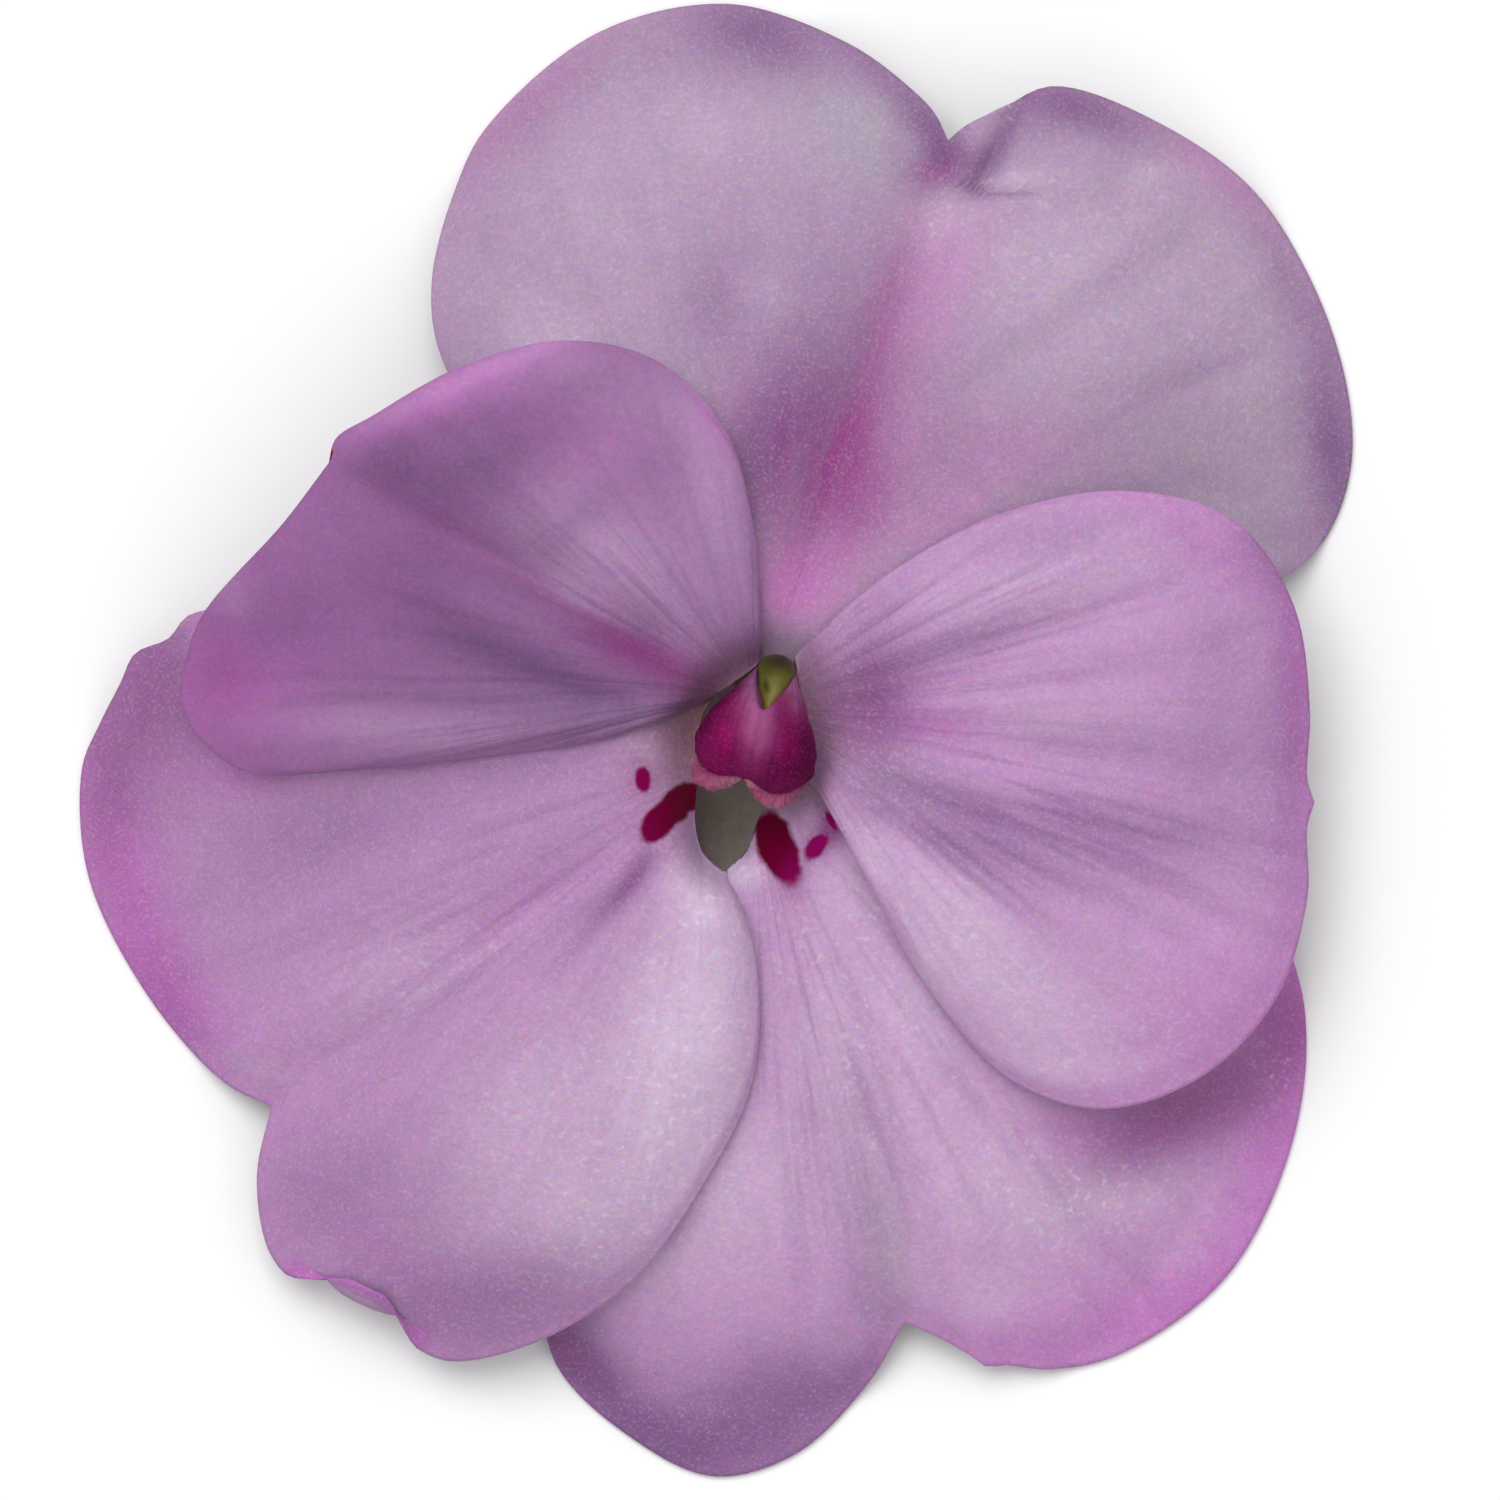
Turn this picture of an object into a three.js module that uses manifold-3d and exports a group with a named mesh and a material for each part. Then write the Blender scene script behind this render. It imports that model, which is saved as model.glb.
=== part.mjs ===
// A New Guinea impatiens bloom, picked with a short stalk and laid face up on a flat surface.
//
// Millimetres, +Z up. The origin is on the surface, under the middle of the bloom's outline, and +Y runs towards
// the top petal. The corolla is three pieces, as it grows: one top petal, and a left and a right pair of wing petals,
// each pair joined at its claw. Behind it are the sepals, one of them drawn out into a thin nectar spur, and the
// stalk. In the throat the stamens are fused into a hood over the ovary.

import * as THREE from 'three';
import { mergeVertices } from 'three/addons/utils/BufferGeometryUtils.js';
import Module from 'manifold-3d';

const wasm = await Module();
wasm.setup();

// Driving dimensions.

const BLADE = 0.6; // thickness of a petal or a flat sepal
const CLEARANCE = 0.3; // gap between neighbouring pieces
const BLOOM_CENTRE = [1.67, -0.02]; // where the hood's middle stands from the origin, in plan
const UP = new THREE.Vector3(0, 0, 1);

// The throat, the hood and the spurred sepal share one axis in plan, which leans a little to the right of +Y.
const CENTRE_AXIS = THREE.MathUtils.degToRad(79);
const ALONG = new THREE.Vector3(Math.cos(CENTRE_AXIS), Math.sin(CENTRE_AXIS), 0);
const ACROSS = new THREE.Vector3(Math.sin(CENTRE_AXIS), -Math.cos(CENTRE_AXIS), 0);
const LEFTWARD = ACROSS.clone().negate();

// The petals' claws stand on an oval ring in the throat and flare out of it within FUNNEL of the ring.
const THROAT = { along: -0.8, halfLength: 4.6, halfWidth: 2.65 };
const FUNNEL = 2.3;

// Each petal has two lobes, one either side of its notch. A lobe's rim is a smooth curve through [x, y, z] points,
// given clockwise as seen from above, from one side of the claw to the notch and on to the claw's other side. The
// claw spans an arc of the throat ring, in degrees, where 90 is the end towards the top petal. The shoulder is the
// height of the blade where it leaves the throat. The lobes swell by the puff and the middle dips by the crease. Rim
// heights below zero mark where a petal rests on the surface: the blade lies flat there.
const PETALS = {
  top: {
    claw: { from: 124, to: 56, spread: 1.2, height: 4.45 },
    shoulder: 8.1,
    puff: 0.9,
    crease: 0.9,
    firstLobe: [
      [-0.9, 6.2, 7.2], [-6.5, 10.8, 6], [-11.8, 13.9, 4.4], [-13.5, 19.2, 2.4], [-11.3, 25.6, -0.6],
      [-6.6, 29.6, -1.7], [-1.2, 30.8, -1.2], [3.8, 29.1, 1.6], [7.2, 26.5, 3.9],
    ],
    notch: [8, 24.2, 4.4],
    secondLobe: [
      [9.9, 25.8, 4.7], [12.3, 27.1, 4], [16.6, 25.8, 3.2], [21, 22.7, 1.4], [24.2, 16.8, -1],
      [24.9, 11.5, -1.5], [22.9, 7.4, 1.2], [16.4, 5.2, 4.4], [10.2, 4, 6], [5.2, 3.8, 7],
    ],
  },
  leftUpper: {
    claw: { from: 176, to: 108, spread: 1, height: 5.2 },
    shoulder: 9.6,
    puff: 0.5,
    crease: 0.9,
    firstLobe: [
      [-4.8, 0.7, 9.6], [-10.7, -0.7, 9.5], [-16.5, -1.2, 8.6], [-21.4, -1.2, 7], [-23.8, 1.2, 5.8],
      [-22.9, 5.3, 5.6], [-19.6, 9, 6],
    ],
    notch: [-17.7, 11.6, 6.4],
    secondLobe: [
      [-15.9, 13.3, 7], [-12.3, 15.4, 7.8], [-8, 16.5, 8.6], [-4, 15.6, 9.4], [-1.2, 12.6, 9.8],
      [-0.2, 9, 9.6], [0.1, 5.8, 9.2],
    ],
  },
  leftLower: {
    claw: { from: 249, to: 170, spread: 1, height: 4.95 },
    shoulder: 8.4,
    puff: 0.6,
    crease: 0.9,
    firstLobe: [
      [-1.2, -5.6, 9.3], [0, -9.5, 8.3], [-0.2, -14.2, 7.6], [-2.2, -18.4, 6.6], [-5.2, -22.5, 5],
      [-9, -25, 3.4], [-13, -25.9, 2.4], [-15.6, -23.9, 2.2], [-20.2, -21.3, 2.2], [-20.8, -18.2, 2.2],
    ],
    notch: [-20.2, -15.3, 2.2],
    secondLobe: [
      [-22.2, -14.3, 1.2], [-25.3, -10.9, -0.9], [-27.9, -5.8, -1.6], [-28.2, -1.2, -0.4], [-26.5, 2.7, 1.6],
      [-24.5, 3.9, 2.4], [-20.5, 4.9, 3.6], [-16, 4.9, 5], [-10, 3.8, 6.8], [-5, 2, 7.8],
    ],
  },
  rightLower: {
    claw: { from: 8, to: -64, spread: 1, height: 4.95 },
    shoulder: 6.7,
    puff: 0.7,
    crease: 0.8,
    firstLobe: [
      [4.7, -2.5, 6.3], [9.3, -2.9, 5.6], [15.6, -4.2, 4.2], [20.6, -6.3, 2.6], [22.8, -10.5, 0.8],
      [22.6, -16.2, -1.2], [19.8, -22.3, -1.5], [15.2, -25.7, -0.3], [10.4, -26.2, 1.4],
    ],
    notch: [6.2, -24.3, 2.2],
    secondLobe: [
      [4.6, -27, 0.8], [1.6, -29.9, -1.1], [-1.8, -30.8, -1.7], [-5.2, -29.2, -1.3], [-8.4, -26, 0.4],
      [-8.7, -22, 1.8], [-6.8, -16.8, 3.3], [-4, -11.8, 4.4], [-0.6, -7.8, 3.8],
    ],
  },
  rightUpper: {
    claw: { from: 72, to: 4, spread: 1, height: 5.2 },
    shoulder: 9.3,
    puff: 0.5,
    crease: 0.8,
    firstLobe: [
      [3.7, 5.3, 8.9], [6.2, 7.3, 9], [10, 9.3, 8.8], [15.2, 10.3, 8], [19.8, 9.1, 6.8],
      [22.3, 5.6, 5.8], [23, 1.2, 5.2],
    ],
    notch: [22.9, -2.4, 4.8],
    secondLobe: [
      [22.9, -6.5, 4.8], [21.6, -10.7, 5.2], [18.6, -13.9, 5.8], [14.5, -15.3, 6.6], [10.8, -14.2, 7.4],
      [7.6, -10.9, 7.8], [5.2, -6.4, 7.8], [3.7, -3.1, 7.6],
    ],
  },
};
const CREASE_WIDTH = 1.5; // half-width of the dip along a petal's middle
const PETAL_GRID = { across: 38, out: 12, crowding: 1.3 }; // rows crowd towards the claw
const PROBE = 1e-3; // step in a and t over which a blade's slope is read

// The hood arches up from the receptacle and forward over the throat. Its path and those below are
// [along, across, height] points in the centre axis's frame; girths are [half-width, half-depth].
const HOOD = {
  path: [[2.2, 0, 4.2], [2.5, 0, 6.2], [2.35, 0, 8.1], [1.4, 0, 9.6], [0.2, 0, 10.2], [-0.8, 0, 10], [-1.4, 0, 9.4]],
  girths: [[1.1, 1], [1.2, 1.1], [1.5, 1.25], [2.1, 1.4], [2.5, 1.45], [2.6, 1.35], [2.4, 1.15]],
};
const ANTHERS = {
  path: [[-1.65, 0, 9.15], [-2, 0, 8.7], [-2.15, 0, 8.2]],
  girths: [[2.1, 1], [2.2, 1.05], [1.5, 0.7]],
};
const STAMENS = 5;
const RIB_DEPTH = 0.12; // of the valleys between the stamens, as a share of the girth
const OVARY = {
  path: [[2.25, 0, 4.1], [2.5, 0, 6.2], [2.5, 0.15, 7.9], [2.1, 0.3, 9.2]],
  girths: [[0.45, 0.45], [0.55, 0.55], [0.75, 0.72], [0.3, 0.3]],
};
const SLIT = { at: [2.5, 0.4, 9.5], reach: [1.2, 0.8, 1.5] }; // in the hood's back, where the ovary shows

// The spurred sepal is a shallow cup under the throat. It narrows abruptly into the spur, which lies along the
// surface in a hook and is hollow where it leaves the cup.
const SEPAL_CUP = { at: [-0.8, 0, 4.3], reach: [5.3, 3.35, 2.7], wall: 0.6, upperEnd: 2.2 };
const SPUR = {
  path: [
    [-1.5, 0, 3], [-2.1, 0, 1.9], [-3.5, 0, 1.25], [-6, 0, 0.9], [-10, 0.4, 0.7], [-14.6, -0.6, 0.6],
    [-18.2, -4.2, 0.55], [-18.6, -9.4, 0.5], [-15.6, -13.6, 0.45], [-11, -15, 0.42], [-7, -13.6, 0.4],
  ],
  girths: [[1.7, 1.7], [0.85, 0.85], [0.75, 0.75], [0.65, 0.65], [0.55, 0.55], [0.45, 0.45]],
  bore: { pathPoints: 4, radius: 0.35 },
};
const SIDE_SEPAL = { from: [3.8, 2.45, 3.2], reach: [2.2, 6.2, -0.9], halfWidth: 1.9, cupping: 0.5 };

// The receptacle is the stalk's swollen end, which closes the throat behind the hood.
const RECEPTACLE = { at: [3.7, 0, 3], reach: [2.3, 2.1, 0.9] };
const STALK = {
  path: [[4.6, 0, 3], [6.4, 0.8, 2.3], [8.4, 2.2, 1.2], [11.4, 4.8, 0.83], [15.4, 8.8, 0.78], [20.4, 13.6, 0.72]],
  girths: [[1.1, 1.1], [0.95, 0.95], [0.9, 0.9], [0.85, 0.85], [0.8, 0.8]],
};

// Points, curves and solids.

// A point of the centre axis's frame, in plan coordinates from the hood's middle.
function onAxis([along, across, height]) {
  return new THREE.Vector3().addScaledVector(ALONG, along).addScaledVector(ACROSS, across).setZ(height);
}

function curveThrough(points) {
  return new THREE.CatmullRomCurve3(points, false, 'centripetal');
}

function toSolid(geometry) {
  const bare = geometry.clone();
  bare.deleteAttribute('normal');
  bare.deleteAttribute('uv');
  const merged = mergeVertices(bare);
  return new wasm.Manifold(new wasm.Mesh({
    numProp: 3,
    vertProperties: merged.attributes.position.array,
    triVerts: new Uint32Array(merged.index.array),
  }));
}

function toGeometry(solid) {
  const mesh = solid.getMesh();
  return new THREE.BufferGeometry()
    .setAttribute('position', new THREE.BufferAttribute(mesh.vertProperties, 3))
    .setIndex(new THREE.BufferAttribute(mesh.triVerts, 1));
}

// The girth of a form at share s of its path, from sizes spaced equally along it.
function girthFrom(sizes, grow = 0) {
  const sizeCurve = new THREE.SplineCurve(sizes.map((size) => new THREE.Vector2(...size)));
  return (s) => sizeCurve.getPoint(s).addScalar(grow).toArray();
}

// Five shallow ribs along a form, one for each stamen.
function ribbed(girth) {
  return (s, turn) => {
    const rib = 1 - RIB_DEPTH * (0.5 + 0.5 * Math.sin(STAMENS * turn));
    return girth(s).map((size) => size * rib);
  };
}

// A closed form along a path: a cylinder whose rings are moved onto the path. Each ring's width runs along the
// sideways direction, level unless it is given. Nothing goes below the surface that the bloom lies on.
function formAlong(pathPoints, girth, sides, steps, sideways) {
  const path = curveThrough(pathPoints.map(onAxis));
  const geometry = new THREE.CylinderGeometry(1, 1, 1, sides, steps);
  const position = geometry.attributes.position;
  const flatSideDown = Math.PI / sides;
  for (let i = 0; i < position.count; i++) {
    const s = THREE.MathUtils.clamp(position.getY(i) + 0.5, 0, 1);
    const reach = Math.hypot(position.getX(i), position.getZ(i));
    const turn = Math.atan2(position.getZ(i), position.getX(i)) + flatSideDown;
    const tangent = path.getTangentAt(s);
    const side = sideways ? sideways.clone() : new THREE.Vector3().crossVectors(tangent, UP).normalize();
    const top = new THREE.Vector3().crossVectors(side, tangent);
    const [halfWidth, halfDepth] = girth(s, turn);
    const point = path.getPointAt(s)
      .addScaledVector(side, reach * halfWidth * Math.cos(turn))
      .addScaledVector(top, reach * halfDepth * Math.sin(turn));
    position.setXYZ(i, point.x, point.y, Math.max(point.z, 0));
  }
  return geometry;
}

// A round lump, stretched and turned into the centre axis's frame.
function lump({ at, reach }, grow = 0) {
  return new THREE.SphereGeometry(1, 24, 16)
    .rotateX(Math.PI / 2)
    .scale(reach[0] + grow, reach[1] + grow, reach[2] + grow)
    .rotateZ(CENTRE_AXIS)
    .translate(...onAxis(at).toArray());
}

// A block in the centre axis's frame, given by its two opposite corners.
function block(low, high) {
  const size = high.map((value, i) => value - low[i]);
  const middle = high.map((value, i) => (value + low[i]) / 2);
  return new THREE.BoxGeometry(...size).rotateZ(CENTRE_AXIS).translate(...onAxis(middle).toArray());
}

// A thin curved blade. surface(a, t) gives its middle sheet, from one side to the other as a goes from 0 to 1 and
// from root to rim as t does. Both faces are split into the same triangles.
function blade(surface, columns, rows) {
  const positions = [];
  for (const face of [1, -1]) {
    for (let j = 0; j <= rows; j++) {
      for (let i = 0; i <= columns; i++) {
        const a = i / columns;
        const t = j / rows;
        const acrossIt = surface(Math.min(a + PROBE, 1), t).sub(surface(Math.max(a - PROBE, 0), t));
        const outward = surface(a, Math.min(t + PROBE, 1)).sub(surface(a, Math.max(t - PROBE, 0)));
        const normal = acrossIt.cross(outward).normalize();
        const point = surface(a, t).addScaledVector(normal, face * BLADE / 2);
        positions.push(point.x, point.y, Math.max(point.z, face > 0 ? BLADE : 0));
      }
    }
  }
  const wide = columns + 1;
  const layer = wide * (rows + 1);
  const index = [];
  for (let j = 0; j < rows; j++) {
    for (let i = 0; i < columns; i++) {
      const p = j * wide + i;
      const q = p + 1;
      const r = q + wide;
      const s = p + wide;
      index.push(p, q, r, p, r, s);
      index.push(p + layer, r + layer, q + layer, p + layer, s + layer, r + layer);
    }
  }
  const edge = [];
  for (let i = 0; i < columns; i++) edge.push(i);
  for (let j = 0; j < rows; j++) edge.push(j * wide + columns);
  for (let i = columns; i > 0; i--) edge.push(rows * wide + i);
  for (let j = rows; j > 0; j--) edge.push(j * wide);
  edge.forEach((p, k) => {
    const q = edge[(k + 1) % edge.length];
    index.push(q, p, p + layer, q, p + layer, q + layer);
  });
  return new THREE.BufferGeometry()
    .setAttribute('position', new THREE.Float32BufferAttribute(positions, 3))
    .setIndex(index);
}

// The petals.

// A point of the throat ring.
function clawPoint({ from, to, spread, height }, a) {
  const turn = THREE.MathUtils.degToRad(THREE.MathUtils.lerp(from, to, a));
  const along = THROAT.along + spread * THROAT.halfLength * Math.sin(turn);
  return onAxis([along, spread * THROAT.halfWidth * Math.cos(turn), height]);
}

function petal({ claw, shoulder, puff, crease, firstLobe, notch, secondLobe }) {
  const tip = new THREE.Vector3(...notch);
  const first = curveThrough([...firstLobe.map((point) => new THREE.Vector3(...point)), tip]);
  const second = curveThrough([tip, ...secondLobe.map((point) => new THREE.Vector3(...point))]);
  const root = clawPoint(claw, 0.5);
  const middle = tip.clone().sub(root).setZ(0).normalize();
  const surface = (a, row) => {
    const t = row ** PETAL_GRID.crowding;
    const inLobe = a <= 0.5 ? a * 2 : a * 2 - 1;
    const rim = (a <= 0.5 ? first : second).getPointAt(inLobe);
    const foot = clawPoint(claw, a);
    const point = new THREE.Vector3().lerpVectors(foot, rim, t);
    const fromClaw = Math.hypot(point.x - foot.x, point.y - foot.y);
    const fromMiddle = (point.x - root.x) * middle.y - (point.y - root.y) * middle.x;
    const droop = THREE.MathUtils.lerp(shoulder, rim.z, t * t);
    const sink = (shoulder - claw.height) * Math.exp(-((fromClaw / FUNNEL) ** 2));
    const swell = puff * Math.sin(Math.PI * inLobe) * Math.sin(Math.PI * t);
    const dip = crease * Math.exp(-((fromMiddle / CREASE_WIDTH) ** 2)) * Math.sin(Math.PI * t);
    return point.setZ(droop - sink + swell - dip);
  };
  return blade(surface, PETAL_GRID.across, PETAL_GRID.out);
}

// A wing pair: an upper and a lower petal that share one claw. A hairline pocket between the two is filled.
function wingPair(upper, lower) {
  const joined = toSolid(petal(upper)).add(toSolid(petal(lower)));
  const [body] = joined.decompose().sort((one, other) => other.volume() - one.volume());
  return toGeometry(body);
}

// The throat's pieces.

function stamenHood() {
  const arch = formAlong(HOOD.path, ribbed(girthFrom(HOOD.girths)), 30, 14, LEFTWARD);
  return toGeometry(toSolid(arch).subtract(toSolid(ovary(CLEARANCE))).subtract(toSolid(lump(SLIT))));
}

function antherRim() {
  return formAlong(ANTHERS.path, ribbed(girthFrom(ANTHERS.girths)), 30, 4, LEFTWARD);
}

function ovary(grow = 0) {
  return formAlong(OVARY.path, girthFrom(OVARY.girths, grow), 12, 10, LEFTWARD);
}

// The sepals and the stalk.

function spurredSepal() {
  const { at, reach, wall, upperEnd } = SEPAL_CUP;
  const [, , mouthHeight] = at;
  const inside = { at, reach: reach.map((value) => value - wall) };
  const borePath = SPUR.path.slice(0, SPUR.bore.pathPoints);
  const boreSize = [SPUR.bore.radius, SPUR.bore.radius];
  return toGeometry(toSolid(lump({ at, reach }))
    .add(toSolid(formAlong(SPUR.path, girthFrom(SPUR.girths), 12, 70)))
    .subtract(toSolid(block([-9, -9, mouthHeight], [9, 9, 12])))
    .subtract(toSolid(block([upperEnd, -9, 0], [9, 9, 12])))
    .subtract(toSolid(lump(inside)))
    .subtract(toSolid(formAlong(borePath, girthFrom([boreSize, boreSize]), 8, 10)))
    .subtract(toSolid(lump(RECEPTACLE, CLEARANCE))));
}

// One of the two flat sepals beside the receptacle: hand is 1 on the right and -1 on the left.
function sideSepal(hand) {
  const mirrored = ([along, across, height]) => onAxis([along, hand * across, height]);
  const root = mirrored(SIDE_SEPAL.from);
  const reach = mirrored(SIDE_SEPAL.reach);
  const sideways = new THREE.Vector3().crossVectors(reach, UP).normalize();
  const surface = (a, t) => {
    const halfWidth = SIDE_SEPAL.halfWidth * Math.sqrt(Math.sin(Math.PI * (0.1 + 0.87 * t)));
    const off = (a * 2 - 1) * halfWidth;
    const point = root.clone().addScaledVector(reach, t).addScaledVector(sideways, off);
    point.z += SIDE_SEPAL.cupping * (Math.sin(Math.PI * t) - (off / SIDE_SEPAL.halfWidth) ** 2);
    return point;
  };
  return blade(surface, 10, 10);
}

function stalk() {
  const stem = toSolid(formAlong(STALK.path, girthFrom(STALK.girths), 12, 26));
  return toGeometry(stem.add(toSolid(lump(RECEPTACLE))));
}

// The bloom.

const WING_LOOK = { color: 0xb795bb, roughness: 0.75 };
const SEPAL_LOOK = { color: 0x6f8a4a, roughness: 0.6 };
const PIECES = [
  ['top_petal', petal(PETALS.top), { color: 0xb39ab8, roughness: 0.75 }],
  ['left_wing_petals', wingPair(PETALS.leftUpper, PETALS.leftLower), WING_LOOK],
  ['right_wing_petals', wingPair(PETALS.rightUpper, PETALS.rightLower), WING_LOOK],
  ['stamen_hood', stamenHood(), { color: 0x8f1a62, roughness: 0.5 }],
  ['anther_rim', antherRim(), { color: 0xc98aa4, roughness: 0.7 }],
  ['ovary', ovary(), { color: 0x7d8a35, roughness: 0.5 }],
  ['spurred_sepal', spurredSepal(), { color: 0xb7a3a4, roughness: 0.6 }],
  ['left_sepal', sideSepal(-1), SEPAL_LOOK],
  ['right_sepal', sideSepal(1), SEPAL_LOOK],
  ['stalk', stalk(), { color: 0x7c9150, roughness: 0.55 }],
];

const bloom = new THREE.Group();
bloom.position.set(...BLOOM_CENTRE, 0);
for (const [name, shape, look] of PIECES) {
  const mesh = new THREE.Mesh(shape, new THREE.MeshStandardMaterial({ ...look, metalness: 0 }));
  mesh.name = name;
  bloom.add(mesh);
}

export default bloom;
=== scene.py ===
# A New Guinea impatiens bloom, picked and laid face up: the dressed model with its floor, lights and camera.
#
# Lengths are in millimetres in the bloom's own plan, which starts at the middle of the stamen hood, and
# become metres in the row frame when a mesh is finished. A petal is a fan: "a" runs across it from one side
# to the other and "t" runs out from its claw to its rim, both from 0 to 1.

import logging
import math
from collections.abc import Callable
from dataclasses import dataclass, field, replace
from enum import Enum

import bmesh
import bpy
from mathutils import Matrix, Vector, noise

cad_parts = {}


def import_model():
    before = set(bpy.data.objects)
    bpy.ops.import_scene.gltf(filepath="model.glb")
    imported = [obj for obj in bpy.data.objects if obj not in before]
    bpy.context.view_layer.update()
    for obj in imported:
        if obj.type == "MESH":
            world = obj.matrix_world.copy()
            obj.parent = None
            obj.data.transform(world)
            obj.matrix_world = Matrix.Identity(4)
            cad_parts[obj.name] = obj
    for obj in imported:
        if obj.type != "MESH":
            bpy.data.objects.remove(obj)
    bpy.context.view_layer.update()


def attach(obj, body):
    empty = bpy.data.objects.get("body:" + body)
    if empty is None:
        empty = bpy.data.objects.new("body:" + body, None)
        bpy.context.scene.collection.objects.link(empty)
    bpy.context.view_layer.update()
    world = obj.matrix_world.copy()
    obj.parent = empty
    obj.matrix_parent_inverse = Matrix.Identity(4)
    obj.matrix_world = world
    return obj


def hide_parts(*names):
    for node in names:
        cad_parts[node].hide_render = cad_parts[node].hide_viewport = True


LOG = logging.getLogger("bloom")
MM = 0.001
HOOD_PLACE = Vector((1.67, -0.02, 0.0))  # the hood's middle in the row frame
CENTRE_AXIS = math.radians(79.0)  # the throat's long axis, from +X
ALONG = Vector((math.cos(CENTRE_AXIS), math.sin(CENTRE_AXIS), 0.0))
ACROSS = Vector((math.sin(CENTRE_AXIS), -math.cos(CENTRE_AXIS), 0.0))
UP = Vector((0.0, 0.0, 1.0))
FUNNEL = 1.3  # how far from the claws a petal takes to flare out of the throat
RIM_FROM = 0.9  # the share out from the claw where a petal's rim starts to thin and to turn pink
FURROW = (0.24, 0.06)  # half the width of a crisp furrow, and its depth
# The dark line in a furrow is painted shade.
LINE_HALF_WIDTH = 0.16  # half the width of the dark line in such a furrow
LINE_STRENGTH = 0.3  # how dark that line is

# The kinds of shader node that are used more than once, and the settings that they share.
MATH = "ShaderNodeMath"
MIX = "ShaderNodeMix"
NOISE = "ShaderNodeTexNoise"
RANGE = "ShaderNodeMapRange"
VECTOR_MATH = "ShaderNodeVectorMath"
SKIN_SHADER = "ShaderNodeBsdfPrincipled"
OF_COLOURS = {"data_type": "RGBA"}
SMOOTH = {"interpolation_type": "SMOOTHSTEP"}
MULTIPLY = {"operation": "MULTIPLY"}
MULTIPLY_ADD = {"operation": "MULTIPLY_ADD"}

Triple = tuple[float, float, float]
Pair = tuple[float, float]
# A spot's middle, its reach along and across, its turn in degrees and its strength.
Spot = tuple[Pair, Pair, float, float]


class TintKind(Enum):
    """The ways in which a spot differs from its tissue's ground colour, some of them as painted light and
    shade. Each is an attribute of the mesh.
    """

    # The pale tint is partly the tissue's own whitish colour and partly painted light: highlights on curled
    # rims and folds, and lightening where a slope or a cast shadow would look too dark.
    PALE = "pale"
    # The pink and rose tints are mostly the tissue's own pink and magenta. On the lower petals some of their
    # spots paint the pink tinge of shade in grooves and under overlapping rims.
    PINK = "pink"
    ROSE = "rose"
    # The shade tint is partly the tissue's deeper colour and partly painted shade: shadows under overlapping
    # rims, shade in creases and furrows, and on rims and faces turned from the lamp.
    SHADE = "shade"
    GREY = "grey"
    # The throat tint is painted shade in the funnel round the stamen hood.
    THROAT = "throat"
    VEIN = "vein"
    MARK = "mark"


@dataclass(frozen=True)
class Tint:
    """A soft oval spot of one tint, seen in plan."""

    kind: TintKind
    at: Pair
    reach: Pair
    turn: float
    strength: float

    def strength_at(self, x: float, y: float) -> float:
        """How strongly the spot tints a place.

        Args:
            x: Place in plan, in millimetres.
            y: Place in plan, in millimetres.

        Returns:
            A share that falls off smoothly from the spot's middle.
        """
        angle = math.radians(self.turn)
        dx = x - self.at[0]
        dy = y - self.at[1]
        lengthways = (dx * math.cos(angle) + dy * math.sin(angle)) / self.reach[0]
        crossways = (dy * math.cos(angle) - dx * math.sin(angle)) / self.reach[1]
        return self.strength * math.exp(-(lengthways**2 + crossways**2))


def spots(**groups: tuple[Spot, ...]) -> tuple[Tint, ...]:
    """Tints a piece's spots.

    Args:
        groups: The spots of each tint, by the tint's name.

    Returns:
        All the spots.
    """
    return tuple(Tint(TintKind(kind), *spot) for kind, group in groups.items() for spot in group)


def tones(**colours: str) -> tuple[tuple[TintKind, str], ...]:
    """Pairs tints with their colours.

    Args:
        colours: The sRGB hex colour of each tint, by the tint's name.

    Returns:
        The pairs, in the order in which they are laid over the ground colour.
    """
    return tuple((TintKind(kind), colour) for kind, colour in colours.items())


def painted_furrow_shade(start: Pair, end: Pair) -> Tint:
    """A thin line of painted shade along a furrow.

    Args:
        start: One end in plan, in millimetres.
        end: The other end.

    Returns:
        A long narrow spot of shade.
    """
    run_x = end[0] - start[0]
    run_y = end[1] - start[1]
    middle = (0.5 * (start[0] + end[0]), 0.5 * (start[1] + end[1]))
    reach = (0.5 * math.hypot(run_x, run_y), LINE_HALF_WIDTH)
    return Tint(TintKind.SHADE, middle, reach, math.degrees(math.atan2(run_y, run_x)), LINE_STRENGTH)


@dataclass(frozen=True)
class Fold:
    """A straight valley in a petal, or a ridge where its depth is negative."""

    start: Pair
    end: Pair
    half_width: float
    depth: float

    def depth_at(self, x: float, y: float) -> float:
        """How deep the fold is at a place.

        Args:
            x: Place in plan, in millimetres.
            y: Place in plan, in millimetres.

        Returns:
            The depth there, in millimetres.
        """
        run_x = self.end[0] - self.start[0]
        run_y = self.end[1] - self.start[1]
        share = ((x - self.start[0]) * run_x + (y - self.start[1]) * run_y) / (run_x**2 + run_y**2)
        beyond = max(-share, share - 1.0, 0.0) * math.hypot(run_x, run_y)
        aside = ((x - self.start[0]) * run_y - (y - self.start[1]) * run_x) / math.hypot(run_x, run_y)
        fading = (aside / self.half_width) ** 2 + (beyond / (2.0 * self.half_width)) ** 2
        return self.depth * math.exp(-fading)


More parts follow.
